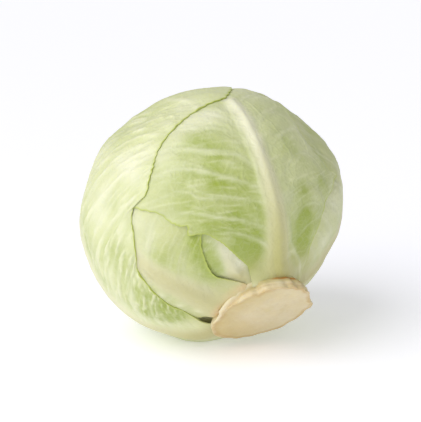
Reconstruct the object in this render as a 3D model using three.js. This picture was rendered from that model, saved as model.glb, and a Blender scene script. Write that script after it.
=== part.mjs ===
// A head of white cabbage as it is sold: the stem with its cut foot, the leaves that wrap the
// head one over another, and the tight heart inside them.
// Millimetres, +Z up. The head lies on its side, on the flattened foot of its outermost leaf at
// z = 0, with the cut foot of the stem turned down and to the front.
//
// Places on the head are given as [polar, turn] in degrees from its centre: polar is the angle
// from the stem end, and turn runs round the stem, anticlockwise for someone facing the cut.

import * as THREE from 'three';

// ---- driving dimensions: millimetres and degrees ----

const CENTRE = new THREE.Vector3(-0.73, -0.55, 80); // middle of the head
const STEM_AZIMUTH = -56; // bearing of the stem from the head's middle, from +X
const STEM_DROP = 40.5; // how far the stem points below the horizon
// The head's radius by polar angle: nearly round, flatter at the stem and at the crown.
const HEAD_PROFILE = [
  [0, 66], [30, 69.5], [60, 79.5], [90, 84], [120, 82], [150, 77], [180, 74.2],
];
// Gentle swellings and hollows of the head: place, reach in degrees and height.
const SWELLINGS = [
  { polar: 48, turn: 273, reach: 24, height: 8.2 },
  { polar: 40, turn: 0, reach: 16, height: 2.5 },
  { polar: 84, turn: 32, reach: 18, height: 3 },
  { polar: 98, turn: 213, reach: 20, height: -4.6 },
];

const BLADE = 1.1; // thickness of a leaf blade
const PITCH = 2.75; // from one leaf's outer face to the next one's
const LEDGE = 10; // degrees past a leaf's margin over which the leaf under it stays low
const TUCK = 16; // degrees over which it then rises to the head's surface
const HEART_GAP = 1;
const DENT = { reach: 22, height: 4.4 }; // how the head's weight dents the leaves over its foot

const NECK_RADIUS = 23; // stem where the leaves grow from it
const NECK_DEPTH = 58; // from the middle of the head, along the stem
const FOOT_RADIUS = 29; // cut foot of the stem
const FOOT_DEPTH = 73;
const FOOT_SAG = 11; // how far the foot bulges on its lower side
const CUT_AZIMUTH = -68.7; // the knife's cut isn't quite square to the stem
const CUT_DROP = 47;
const CORE_TIP = 6; // where the core ends inside the heart
const CORE_CLEARANCE = 0.6;

const WRAPPER_GRID = { rows: 21, columns: 20, crowding: 1.15 };
const GRID = { rows: 17, columns: 14, crowding: 1.25 };
const INNER_GRID = { rows: 15, columns: 12, crowding: 1.05 };
const HEART_GRID = { rows: 22, columns: 34 };

const COLOURS = {
  outer: 0xdfe2b0,
  front: 0xcbd3a0,
  inner: 0xd9dcae,
  heart: 0xe6e4c0,
  stem: 0xdcccA6,
};

// ---- leaves, outermost first ----
// Each outline is matched rows from the stem to the tip: the rib and, at the same rows, the
// margins on its left and right as seen from outside with the stem at the bottom. The rib's last
// place is the tip, where the margins meet it. ribHeight and ribHalfWidth run from stem to tip.

const WRAPPER_LEAVES = [
  {
    name: 'left_wrapper_leaf',
    colour: COLOURS.outer,
    grid: WRAPPER_GRID,
    rib: [
      [32, 250], [37, 242], [43, 233], [52, 224], [62, 217], [73, 211], [85, 206],
      [98, 203], [112, 201], [127, 200], [143, 200], [160, 200], [170, 30],
    ],
    left: [
      [31, 285], [37, 298], [43, 304], [52, 308], [62, 309], [73, 308], [85, 306],
      [98, 304], [112, 302], [127, 302], [143, 304], [157, 315],
    ],
    right: [
      [28, 224], [34, 207], [44, 191], [57, 180], [67, 172], [77, 161], [85, 150],
      [93, 138], [103, 124], [109, 107], [117, 90], [135, 70],
    ],
    ribHeight: [4.5, 1],
    ribHalfWidth: [17, 7],
  },
  {
    name: 'front_wrapper_leaf',
    colour: COLOURS.front,
    grid: GRID,
    rib: [
      [25, 86], [32, 92], [42, 94], [51, 96], [60, 97], [69, 98], [78, 99], [88, 99],
      [99, 98], [111, 97], [125, 97], [140, 97], [154, 97], [165, 95],
    ],
    left: [
      [25, 122], [33, 121], [41, 126], [49, 129], [56, 133], [61, 140], [68, 144],
      [78, 151], [90, 158], [105, 163], [122, 164], [140, 162], [155, 150],
    ],
    right: [
      [28, 30], [33, 42], [38, 52], [44, 57], [52, 58], [60, 56], [67, 50], [74, 46],
      [80, 58], [90, 66], [104, 68], [121, 72], [140, 80],
    ],
    ribHeight: [4, 1.2],
    ribHalfWidth: [9, 4],
  },
  wholeLeaf('underside_leaf', 287, { tip: 158, spread: 0.8 }),
  {
    name: 'lower_left_leaf',
    colour: COLOURS.outer,
    grid: GRID,
    rib: [
      [25, 180], [34, 172], [44, 170], [54, 170], [66, 171], [79, 170], [93, 168],
      [108, 166], [124, 164], [140, 163], [155, 162],
    ],
    left: [
      [25, 215], [34, 216], [45, 217], [57, 219], [69, 221], [82, 223], [96, 224],
      [111, 222], [126, 216], [141, 205],
    ],
    right: [
      [25, 136], [30, 143], [37, 147], [45, 145], [53, 141], [60, 134], [74, 122],
      [92, 112], [112, 108], [130, 112],
    ],
    ribHeight: [3.5, 1],
    ribHalfWidth: [15, 6],
  },
  {
    name: 'right_leaf',
    colour: COLOURS.front,
    grid: GRID,
    rib: [
      [26, 8], [38, 13], [51, 17], [65, 20], [80, 22], [96, 24], [112, 25], [128, 26],
      [145, 27], [166, 28],
    ],
    left: [
      [26, 45], [36, 72], [48, 84], [60, 89], [75, 90], [90, 89], [107, 87], [125, 85],
      [145, 88],
    ],
    right: [
      [27, 330], [38, 318], [51, 312], [65, 309], [80, 307], [96, 305], [112, 303],
      [128, 300], [145, 293],
    ],
    ribHeight: [3, 1],
    ribHalfWidth: [15, 6],
  },
];

// Under the wrappers the leaves follow one another round the stem by the golden angle.
const GOLDEN_ANGLE = 137.5;
const INNER_LEAF_COUNT = 7;
const FIRST_INNER_TURN = 234.5;
const INNER_LEAVES = Array.from({ length: INNER_LEAF_COUNT }, (_, i) => {
  const turn = (FIRST_INNER_TURN - GOLDEN_ANGLE * i + 720) % 360;
  return wholeLeaf(`inner_leaf_${i + 1}`, turn, { tip: 160, spread: 1 });
});

const LEAVES = [...WRAPPER_LEAVES, ...INNER_LEAVES];

/** A whole leaf by rule: a straight rib at one turn, with the blade widest over its middle. */
function wholeLeaf(name, turn, { tip, spread }) {
  const halfWidths = [24, 48, 60, 65, 66, 65, 60, 48];
  const start = 30;
  const rib = [];
  const left = [];
  const right = [];
  halfWidths.forEach((halfWidth, row) => {
    const polar = start + ((tip - start) * row) / halfWidths.length;
    rib.push([polar, turn]);
    left.push([polar, turn + halfWidth * spread]);
    right.push([polar, turn - halfWidth * spread]);
  });
  rib.push([tip, turn]);
  return {
    name, rib, left, right, colour: COLOURS.inner, grid: INNER_GRID, ribHeight: [2, 0.8],
    ribHalfWidth: [12, 6],
  };
}

// ---- directions from the head's middle ----

function bearing(azimuth, drop) {
  const turn = THREE.MathUtils.degToRad(azimuth);
  const down = THREE.MathUtils.degToRad(drop);
  return new THREE.Vector3(
    Math.cos(down) * Math.cos(turn), Math.cos(down) * Math.sin(turn), -Math.sin(down),
  );
}

const STEM_AXIS = bearing(STEM_AZIMUTH, STEM_DROP);
const RISE_AXIS = bearing(STEM_AZIMUTH, STEM_DROP - 90).normalize();
const SIDE_AXIS = new THREE.Vector3().crossVectors(RISE_AXIS, STEM_AXIS);
const CUT_NORMAL = bearing(CUT_AZIMUTH, CUT_DROP);
const DOWN = new THREE.Vector3(0, 0, -1);

/** Unit vector square to the stem, at a turn round it. */
function outward(turn) {
  const angle = THREE.MathUtils.degToRad(turn);
  return new THREE.Vector3()
    .addScaledVector(SIDE_AXIS, Math.cos(angle))
    .addScaledVector(RISE_AXIS, Math.sin(angle));
}

function direction([polar, turn]) {
  const angle = THREE.MathUtils.degToRad(polar);
  return outward(turn).multiplyScalar(Math.sin(angle)).addScaledVector(STEM_AXIS, Math.cos(angle));
}

/** The point a share of the way along the great circle from one direction to another. */
function along(from, to, share) {
  const angle = from.angleTo(to);
  if (angle < 1e-6) return from.clone();
  return from.clone().multiplyScalar(Math.sin((1 - share) * angle) / Math.sin(angle))
    .addScaledVector(to, Math.sin(share * angle) / Math.sin(angle));
}

// ---- the head's form ----

/** Smooth curve through evenly spaced [x, y] places. */
function smoothValue(places, x) {
  const step = places[1][0] - places[0][0];
  const last = places.length - 1;
  const at = THREE.MathUtils.clamp((x - places[0][0]) / step, 0, last);
  const row = Math.min(Math.floor(at), last - 1);
  const y = (i) => places[THREE.MathUtils.clamp(i, 0, last)][1];
  const t = at - row;
  const slopeIn = (y(row + 1) - y(row - 1)) / 2;
  const slopeOut = (y(row + 2) - y(row)) / 2;
  return (2 * t ** 3 - 3 * t ** 2 + 1) * y(row) + (t ** 3 - 2 * t ** 2 + t) * slopeIn
    + (3 * t ** 2 - 2 * t ** 3) * y(row + 1) + (t ** 3 - t ** 2) * slopeOut;
}

function headRadius(dir) {
  const polar = THREE.MathUtils.radToDeg(dir.angleTo(STEM_AXIS));
  let radius = smoothValue(HEAD_PROFILE, polar);
  for (const swelling of SWELLINGS) {
    const away = THREE.MathUtils.radToDeg(dir.angleTo(direction([swelling.polar, swelling.turn])));
    radius += swelling.height * Math.exp(-((away / swelling.reach) ** 2));
  }
  return radius;
}

/**
 * The head's surface as leaf number `layer` meets it, with its rib's swelling. The outermost leaf
 * is flat where it meets the ground; the leaves under it are only dented there.
 */
function surfaceRadius(layer, dir, swelling = 0) {
  const round = headRadius(dir) + swelling;
  if (layer === 0) return dir.z < 0 ? Math.min(round, CENTRE.z / -dir.z) : round;
  const away = THREE.MathUtils.radToDeg(dir.angleTo(DOWN));
  return round - DENT.height * Math.exp(-((away / DENT.reach) ** 2));
}

// ---- leaves as regions of the head ----

function curveThrough(places) {
  const curve = new THREE.CatmullRomCurve3(places.map(direction), false, 'catmullrom', 0.5);
  return (share) => curve.getPoint(share).normalize();
}

for (const leaf of LEAVES) {
  const tip = leaf.rib[leaf.rib.length - 1];
  leaf.ribAt = curveThrough(leaf.rib);
  leaf.leftAt = curveThrough([...leaf.left, tip]);
  leaf.rightAt = curveThrough([...leaf.right, tip]);
  leaf.middle = leaf.ribAt(0.5);
  leaf.ribSteps = Array.from({ length: 61 }, (_, i) => leaf.ribAt(i / 60));
  const margin = Array.from({ length: 41 }, (_, i) => i / 40);
  leaf.outline = [
    ...margin.map((share) => leaf.leftAt(share)),
    ...margin.slice(0, -1).reverse().map((share) => leaf.rightAt(share)),
    leaf.ribAt(0),
  ].map((dir) => flatten(dir, leaf.middle));
}

/** Lays a direction flat round a middle direction, keeping its angle from it, in degrees. */
function flatten(dir, middle) {
  const side = new THREE.Vector3().crossVectors(STEM_AXIS, middle).normalize();
  const rise = new THREE.Vector3().crossVectors(middle, side);
  const angle = THREE.MathUtils.radToDeg(dir.angleTo(middle));
  return new THREE.Vector2(dir.dot(side), dir.dot(rise)).normalize().multiplyScalar(angle);
}

function distanceToSegment(point, start, end) {
  const run = end.clone().sub(start);
  const share = THREE.MathUtils.clamp(point.clone().sub(start).dot(run) / run.lengthSq(), 0, 1);
  return point.distanceTo(start.clone().addScaledVector(run, share));
}

/** 1 under a leaf and on the ledge round it, falling to 0 over the tuck. */
function cover(leaf, dir) {
  const point = flatten(dir, leaf.middle);
  const corners = leaf.outline;
  let nearest = Infinity;
  let inside = false;
  corners.forEach((start, i) => {
    const end = corners[(i + 1) % corners.length];
    if (start.distanceTo(end) < 1e-6) return;
    nearest = Math.min(nearest, distanceToSegment(point, start, end));
    const crosses = start.y > point.y !== end.y > point.y;
    const crossing = ((end.x - start.x) * (point.y - start.y)) / (end.y - start.y) + start.x;
    if (crosses && point.x < crossing) inside = !inside;
  });
  return inside ? 1 : 1 - THREE.MathUtils.smoothstep(nearest, LEDGE, LEDGE + TUCK);
}

/** How far leaf number `layer` lies under the head's surface. */
function layerDepth(layer, dir) {
  let depth = 0;
  for (let i = 0; i < layer; i += 1) depth += PITCH * cover(LEAVES[i], dir);
  return depth;
}

/** The swelling of a leaf's own rib, pressed flat where another leaf lies on it. */
function ribSwelling(layer, dir) {
  const { ribSteps, ribHeight, ribHalfWidth } = LEAVES[layer];
  let nearest = Infinity;
  let share = 0;
  ribSteps.forEach((step, i) => {
    const away = dir.distanceTo(step);
    if (away < nearest) {
      nearest = away;
      share = i / (ribSteps.length - 1);
    }
  });
  const halfWidth = THREE.MathUtils.lerp(...ribHalfWidth, share);
  const height = THREE.MathUtils.lerp(...ribHeight, share);
  const across = Math.min(1, (nearest * headRadius(dir)) / halfWidth);
  let free = 1;
  for (let i = 0; i < layer; i += 1) free *= 1 - cover(LEAVES[i], dir);
  return height * free * Math.cos((across * Math.PI) / 2) ** 2;
}

function outerFace(layer, dir) {
  return surfaceRadius(layer, dir, ribSwelling(layer, dir)) - layerDepth(layer, dir);
}

function innerFace(layer, dir) {
  return surfaceRadius(layer, dir) - layerDepth(layer, dir) - BLADE;
}

/** The point at a distance from the middle, exactly on the ground where it reaches it. */
function place(dir, radius) {
  const point = CENTRE.clone().addScaledVector(dir, radius);
  if (Math.abs(point.z) < 1e-4) point.z = 0;
  return point;
}

// ---- closed meshes ----

/** Gathers points and the faces between them. */
class Surface {
  points = [];
  faces = [];

  add(point) {
    this.points.push(point);
    return this.points.length - 1;
  }

  /** Joins two rows of point numbers; a row of one number is a pole. */
  bridge(lower, upper) {
    const cells = Math.max(lower.length, upper.length) - 1;
    const pick = (row, i) => (row.length === 1 ? row[0] : row[i]);
    for (let i = 0; i < cells; i += 1) {
      const corners = [pick(lower, i), pick(lower, i + 1), pick(upper, i + 1), pick(upper, i)];
      if (corners[0] !== corners[1]) this.faces.push(corners[0], corners[1], corners[2]);
      if (corners[2] !== corners[3]) this.faces.push(corners[0], corners[2], corners[3]);
    }
  }

  geometry() {
    const made = new THREE.BufferGeometry();
    made.setAttribute(
      'position', new THREE.Float32BufferAttribute(this.points.flatMap((p) => p.toArray()), 3),
    );
    made.setIndex(this.faces);
    made.computeVertexNormals();
    return made;
  }
}

/** A leaf: an outer and an inner face over the same rows, joined round their edge. */
function leafGeometry(layer) {
  const leaf = LEAVES[layer];
  const { grid } = leaf;
  const surface = new Surface();
  const outer = [];
  const inner = [];
  for (let row = 0; row <= grid.rows; row += 1) {
    const share = row / grid.rows;
    const across = row === grid.rows ? 0 : grid.columns;
    const dirs = Array.from({ length: across + 1 }, (_, column) => {
      // Columns crowd towards the rib, which is where the face is least flat.
      const side = across ? (2 * column) / across - 1 : 0;
      const out = Math.abs(side) ** grid.crowding;
      return along(leaf.ribAt(share), side < 0 ? leaf.leftAt(share) : leaf.rightAt(share), out);
    });
    outer.push(dirs.map((dir) => surface.add(place(dir, outerFace(layer, dir)))));
    inner.push(dirs.map((dir) => surface.add(place(dir, innerFace(layer, dir)))));
  }
  for (let row = 0; row < grid.rows; row += 1) {
    surface.bridge(outer[row], outer[row + 1]);
    surface.bridge([...inner[row]].reverse(), [...inner[row + 1]].reverse());
    surface.bridge([inner[row].at(0), outer[row].at(0)], [inner[row + 1].at(0), outer[row + 1].at(0)]);
    surface.bridge([outer[row].at(-1), inner[row].at(-1)], [outer[row + 1].at(-1), inner[row + 1].at(-1)]);
  }
  surface.bridge(inner[0], outer[0]);
  return surface.geometry();
}

/** A ring of points round the stem, closed on its first point. */
function ring(surface, pointAt, count) {
  const numbers = Array.from({ length: count }, (_, i) => surface.add(pointAt((i * 360) / count)));
  return [...numbers, numbers[0]];
}

/** The core's radius by its distance from the head's middle, tapering into the heart. */
function coreRadius(depth) {
  const share = THREE.MathUtils.clamp((depth - CORE_TIP) / (NECK_DEPTH - CORE_TIP), 0, 1);
  return NECK_RADIUS * share ** 0.45;
}

function onStem(depth, turn, radius) {
  return CENTRE.clone().addScaledVector(STEM_AXIS, depth).addScaledVector(outward(turn), radius);
}

/** The tight heart: one body under the last leaf, with a pocket that the core grows into. */
function heartGeometry() {
  const surface = new Surface();
  const { rows, columns } = HEART_GRID;
  const mouth = 27;
  const layer = LEAVES.length;
  const heartFace = (dir) => surfaceRadius(layer, dir) - layerDepth(layer, dir) - HEART_GAP;
  const crown = direction([180, 0]);
  let last = [surface.add(place(crown, heartFace(crown)))];
  for (let row = 1; row <= rows; row += 1) {
    const polar = 180 - ((180 - mouth) * row) / rows;
    const next = ring(surface, (turn) => {
      const dir = direction([polar, turn]);
      return place(dir, heartFace(dir));
    }, columns);
    surface.bridge(last, next);
    last = next;
  }
  for (const share of [1, 0.8, 0.6, 0.4, 0.2, 0.08, 0.02]) {
    const depth = CORE_TIP + (44 - CORE_TIP) * share;
    const radius = coreRadius(depth) + CORE_CLEARANCE;
    const next = ring(surface, (turn) => onStem(depth - CORE_CLEARANCE, turn, radius), columns);
    surface.bridge(last, next);
    last = next;
  }
  surface.bridge(last, [surface.add(onStem(CORE_TIP - 2 * CORE_CLEARANCE, 0, 0))]);
  return surface.geometry();
}

/** How deep the knife's cut lies at a turn and radius round the stem. */
function cutDepth(turn, radius) {
  return FOOT_DEPTH - (radius * outward(turn).dot(CUT_NORMAL)) / STEM_AXIS.dot(CUT_NORMAL);
}

function footRadius(turn) {
  const lower = Math.max(0, Math.cos(THREE.MathUtils.degToRad(turn - 288)));
  const wavy = Math.cos(THREE.MathUtils.degToRad(3 * turn)) * 0.4;
  return FOOT_RADIUS + FOOT_SAG * lower ** 1.4 + wavy;
}

/** The stem: its core inside the heart, the neck that carries the leaves, and the cut foot. */
function stemGeometry() {
  const surface = new Surface();
  const columns = 36;
  let last = [surface.add(onStem(CORE_TIP, 0, 0))];
  const join = (pointAt) => {
    const next = ring(surface, pointAt, columns);
    surface.bridge(last, next);
    last = next;
  };
  for (const share of [0.02, 0.08, 0.2, 0.4, 0.6, 0.8, 1]) {
    const depth = CORE_TIP + (NECK_DEPTH - CORE_TIP) * share;
    join((turn) => onStem(depth, turn, coreRadius(depth)));
  }
  // The foot flares from the neck to the rim of the cut, and the rim is slightly rounded.
  const flare = [[0.22, 0.04], [0.42, 0.3], [0.58, 0.72], [0.74, 0.94], [0.9, 1]];
  for (const [rise, swell] of flare) {
    join((turn) => {
      const radius = THREE.MathUtils.lerp(NECK_RADIUS, footRadius(turn), swell);
      return onStem(THREE.MathUtils.lerp(NECK_DEPTH, cutDepth(turn, radius), rise), turn, radius);
    });
  }
  for (const share of [0.965, 0.6, 0.3]) {
    join((turn) => {
      const radius = footRadius(turn) * share;
      return onStem(cutDepth(turn, radius), turn, radius);
    });
  }
  surface.bridge(last, [surface.add(onStem(FOOT_DEPTH, 0, 0))]);
  return surface.geometry();
}

// ---- the assembly ----

function named(name, geometry, color) {
  const material = new THREE.MeshStandardMaterial({ color, roughness: 0.45, metalness: 0 });
  const mesh = new THREE.Mesh(geometry, material);
  mesh.name = name;
  return mesh;
}

const cabbage = new THREE.Group();
LEAVES.forEach((leaf, layer) => cabbage.add(named(leaf.name, leafGeometry(layer), leaf.colour)));
cabbage.add(named('heart', heartGeometry(), COLOURS.heart));
cabbage.add(named('stem', stemGeometry(), COLOURS.stem));

export default cabbage;
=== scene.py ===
"""A head of white cabbage: wrapper leaves with their ribs and veins, the leaves and the tight
heart under them, and the cut stem. Metres, in the frame of the packed model.

Places on the head are [polar, turn] in degrees from its middle, as in the CAD model: polar is
the angle from the stem end, and turn runs round the stem, anticlockwise for someone facing the
cut. Lengths are metres; reaches and fades over the head are degrees.
"""

import math

import bpy
import numpy as np
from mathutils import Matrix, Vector


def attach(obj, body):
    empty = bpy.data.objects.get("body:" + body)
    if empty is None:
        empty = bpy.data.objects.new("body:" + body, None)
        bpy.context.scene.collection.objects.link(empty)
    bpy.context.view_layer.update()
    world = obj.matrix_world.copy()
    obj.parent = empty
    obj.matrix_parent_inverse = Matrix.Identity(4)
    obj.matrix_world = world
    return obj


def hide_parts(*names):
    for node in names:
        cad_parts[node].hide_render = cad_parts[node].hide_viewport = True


bl_info = {
    "name": "Cabbage Head",
    "version": (1, 0, 0),
    "blender": (4, 5, 0),
    "location": "3D View > Sidebar > Cabbage",
    "description": "Builds a head of white cabbage leaf by leaf round a packed frame",
    "category": "Object",
}

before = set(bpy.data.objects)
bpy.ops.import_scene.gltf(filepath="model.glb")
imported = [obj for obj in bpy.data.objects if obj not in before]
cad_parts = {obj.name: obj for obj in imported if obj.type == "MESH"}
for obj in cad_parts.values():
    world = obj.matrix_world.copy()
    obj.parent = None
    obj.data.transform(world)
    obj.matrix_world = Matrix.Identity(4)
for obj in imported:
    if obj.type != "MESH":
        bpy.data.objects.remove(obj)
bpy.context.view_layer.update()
BODY = "root"
MM = 0.001

# ---- how the head lies, as in the CAD model ----

CENTRE = np.array((-0.73, -0.55, 80.0)) * MM
STEM_AZIMUTH = -56.0
STEM_DROP = 40.5
CUT_AZIMUTH = -68.7
CUT_DROP = 47.0
CORE_TIP = 6.0 * MM
CORE_CLEARANCE = 0.6 * MM
COLLAR_TURN = 95.0  # where the leaf bases climb the stem most
SAG_TURN = 288.0  # the lower side of the foot, where it bulges most

# The head's radius as shares of its widest, every 30 degrees from the stem end to the crown.
PROFILE_STEP = 30.0
PROFILE = (0.786, 0.827, 0.946, 1.0, 0.976, 0.917, 0.883)
# Gentle swellings and hollows: place, reach in degrees and height.
SWELLINGS = (
    ((48, 273), 24, 8.2 * MM),
    ((40, 0), 16, 2.5 * MM),
    ((84, 32), 18, 3.0 * MM),
    ((98, 213), 20, -4.6 * MM),
    ((90, 54), 14, -5.8 * MM),
    ((46, 18), 10, -2.0 * MM),
    ((127, 136), 11, -3.2 * MM),
    ((93, 196), 8, -1.6 * MM),
    ((34, 266), 5, -2.5 * MM),
)
DENT = (22, 4.4 * MM)  # how the leaves under the outermost one are pressed in over the ground
# Where the leaves under the outermost one stand off from its edge: place, reach and depth.
STANDOFFS = (((27, 221), 4.4, 3.6 * MM),)
COLLAR = (17.0, 31.0, 6.0 * MM)  # the leaf bases climb the stem between these polar angles
PLUNGE = (21.0, 6.0, 9.0 * MM)  # nearer the stem than this they turn down into it

# ---- leaves, outermost first ----
#
# Each leaf's table holds its rib and margins as places from stem to tip, and:
#   grid            rows and columns of points on its outer face
#   rib_height      how far the rib stands up, at the stem and at the tip
#   rib_half_width  the same two ends
#   rib_fade        polar angles between which the rib rises from the stem
#   lift            how far the margin stands off, or is pressed down where negative
#   curls           where it stands off further: place, reach and height
#   streak          height of the fine streaks across the blade
#   streak_highlight  how much painted highlight whitens the blade along the streaks, 0 to 1
#   base_reach      how far along the rib, as a share, the base's colour has faded out
#   foot_mark       turns it runs between, the polar angle it reaches and its fade


def whole_leaf(turn, tip, spread, start=28):
    """A whole leaf by rule: a straight rib at one turn, with the blade widest over its middle."""
    half_widths = (24, 48, 60, 65, 66, 65, 60, 48)
    count = len(half_widths)
    polars = [start + (tip - start) * row / count for row in range(count)]
    return {
        "rib": [(polar, turn) for polar in polars] + [(tip, turn)],
        "left": [(polar, turn + half * spread) for polar, half in zip(polars, half_widths)],
        "right": [(polar, turn - half * spread) for polar, half in zip(polars, half_widths)],
    }


# What a leaf's table needn't say.
STREAK = 0.1 * MM
# Default strength of the painted highlight along the streaks.
STREAK_HIGHLIGHT = 0.13
BASE_REACH = 0.55
RIB_FADE = (18, 29)

INNER_LEAF_COUNT = 7
FIRST_INNER_TURN = 234.5
GOLDEN_ANGLE = 137.5

LEFT_WRAPPER = {
    "node": "left_wrapper_leaf",
    "slot": "wrapper_leaf",
    "streak": 0.8 * MM,
    # Strong painted highlight along this leaf's streaks.
    "streak_highlight": 0.55,
    "rib_fade": (28, 44),
    "grid": (270, 264),
    "rib": [
        (24, 262), (37, 242), (43, 233), (52, 224), (62, 217), (73, 211), (85, 206), (98, 203),
        (112, 201), (127, 200), (143, 200), (160, 200), (170, 30),
    ],
    "left": [
        (26, 285), (37, 298), (43, 304), (52, 308), (62, 309), (73, 308), (85, 306), (98, 304),
        (112, 302), (127, 302), (143, 304), (157, 315),
    ],
    "right": [
        (24, 227), (30, 219), (34, 206), (39, 196), (44, 191), (50, 185), (57, 180), (65, 175),
        (69, 169), (75, 162), (80, 158), (84, 153), (84, 147), (89, 141), (93, 138), (98, 134),
        (103, 125), (107, 117), (109, 107), (110, 99), (116, 91), (126, 80), (137, 68),
        (152, 52),
    ],
    "rib_height": (4.5 * MM, 1.2 * MM),
    "rib_half_width": (17 * MM, 6 * MM),
    "lift": -0.4 * MM,
    "curls": (((26, 222), 5, 1.3 * MM),),
}

FRONT_WRAPPER = {
    "node": "front_wrapper_leaf",
    "slot": "wrapper_leaf",
    "streak": 0.14 * MM,
    "grid": (280, 270),
    "rib": [
        (18, 76), (31, 90), (42, 94), (51, 96), (60, 97), (69, 97.5), (78, 97.5), (88, 97),
        (99, 96.5), (111, 96.5), (125, 97), (140, 97), (154, 97), (165, 95),
    ],
    "left": [
        (18, 128), (26, 122), (32, 121), (36, 123), (40, 125), (44, 127), (49, 129), (53, 131),
        (57, 134), (59, 137), (61, 141), (64, 139.5), (66, 142), (69, 144), (75, 147),
        (81, 152), (88, 158), (97, 161), (105, 163), (114, 164), (122, 164), (131, 163.5),
        (140, 162), (148, 157), (155, 150), (161, 125),
    ],
    "right": [
        (18, 8), (26, 30), (32, 40), (36, 48), (41, 55), (47, 58), (54, 58), (60, 57),
        (66, 52), (71, 49), (74, 46), (75, 52), (79, 56), (82, 62), (88, 66), (97, 67),
        (104, 68), (112, 69), (121, 72), (130, 76), (140, 80), (149, 83), (156, 86), (161, 90),
    ],
    "rib_height": (4.6 * MM, 1.3 * MM),
    "rib_half_width": (15 * MM, 5 * MM),
    "lift": -0.4 * MM,
    "curls": (
        ((61, 140), 3, 1.4 * MM), ((66, 143), 3, 0.7 * MM), ((45, 127), 12, 0.8 * MM),
        ((74, 47), 4, 1.4 * MM), ((104, 68), 5, 0.8 * MM),
    ),
}

UNDERSIDE = {
    "node": "underside_leaf",
    "slot": "under_leaf",
    "grid": (150, 150),
    **whole_leaf(287, 158, 0.8, start=23),
    "rib_height": (2 * MM, 0.8 * MM),
    "rib_half_width": (13 * MM, 5 * MM),
    "lift": -0.3 * MM,
}

LOWER_LEFT = {
    "node": "lower_left_leaf",
    "slot": "under_leaf",
    "grid": (240, 220),
    "rib": [
        (19, 186), (31, 175), (43, 170), (54, 170), (66, 171), (79, 170), (93, 168), (108, 166),
        (124, 164), (140, 163), (155, 162),
    ],
    "left": [
        (20, 215), (34, 216), (45, 217), (57, 219), (69, 221), (82, 223), (96, 224), (111, 222),
        (126, 216), (141, 205),
    ],
    "right": [
        (19, 128), (24, 131), (28, 138), (33, 143), (38, 146.5), (44, 145), (50, 142),
        (55, 139), (60, 134), (66, 127), (74, 122), (83, 117), (92, 112), (102, 109),
        (112, 108), (121, 109), (130, 112), (141, 122), (150, 140),
    ],
    "rib_height": (4.2 * MM, 1.0 * MM),
    "rib_half_width": (19 * MM, 7 * MM),
    "lift": -0.2 * MM,
    "curls": (((37, 146), 8, 0.8 * MM),),
    "base_reach": 1.1,
    "foot_mark": (128, 200, 23.0, 5.0),
}

RIGHT = {
    "node": "right_leaf",
    "slot": "under_leaf",
    "grid": (220, 220),
    "rib": [
        (19, 8), (36, 13), (51, 17), (65, 20), (80, 22), (96, 24), (112, 25), (128, 26),
        (145, 27), (166, 28),
    ],
    "left": [
        (19, 50), (36, 72), (48, 84), (60, 89), (75, 90), (90, 89), (107, 87), (125, 85),
        (145, 88),
    ],
    "right": [
        (20, 330), (38, 318), (51, 312), (65, 309), (80, 307), (96, 305), (112, 303),
        (128, 300), (145, 293),
    ],
    "rib_height": (3 * MM, 1.0 * MM),
    "rib_half_width": (14 * MM, 5 * MM),
    "lift": -0.3 * MM,
}

# The inner leaf that shows between the front wrapper and the lower left leaf.
SHOWING_INNER = {
    "grid": (150, 130),
    "rib": [
        (19, 138), (30, 133), (42, 129), (56, 126), (72, 124), (90, 122), (108, 120),
        (126, 118), (144, 116), (160, 110),
    ],
    "left": [
        (19, 168), (30, 180), (42, 188), (56, 192), (72, 192), (90, 190), (108, 186),
        (126, 180), (144, 168),
    ],
    "right": [
        (19, 100), (30, 84), (42, 74), (56, 68), (72, 64), (90, 62), (108, 62), (126, 66),
        (144, 78),
    ],
    "rib_height": (2.6 * MM, 0.8 * MM),
    "rib_half_width": (11 * MM, 4 * MM),
}


def inner_leaf(number):
    """An inner leaf; they follow one another round the stem by the golden angle."""
    turn = (FIRST_INNER_TURN - GOLDEN_ANGLE * (number - 1)) % 360
    made = {
        "node": f"inner_leaf_{number}",
        "slot": "inner_leaf",
        "grid": (90, 84),
        **whole_leaf(turn, 160, 1.0, start=24),
        "rib_height": (2 * MM, 0.8 * MM),
        "rib_half_width": (12 * MM, 5 * MM),
    }
    if number == 2:
        made.update(SHOWING_INNER)
    return made


LEAVES = [LEFT_WRAPPER, FRONT_WRAPPER, UNDERSIDE, LOWER_LEFT, RIGHT]
LEAVES += [inner_leaf(number) for number in range(1, INNER_LEAF_COUNT + 1)]

# ---- veins placed one by one, on the two leaves that face the front ----

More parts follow.
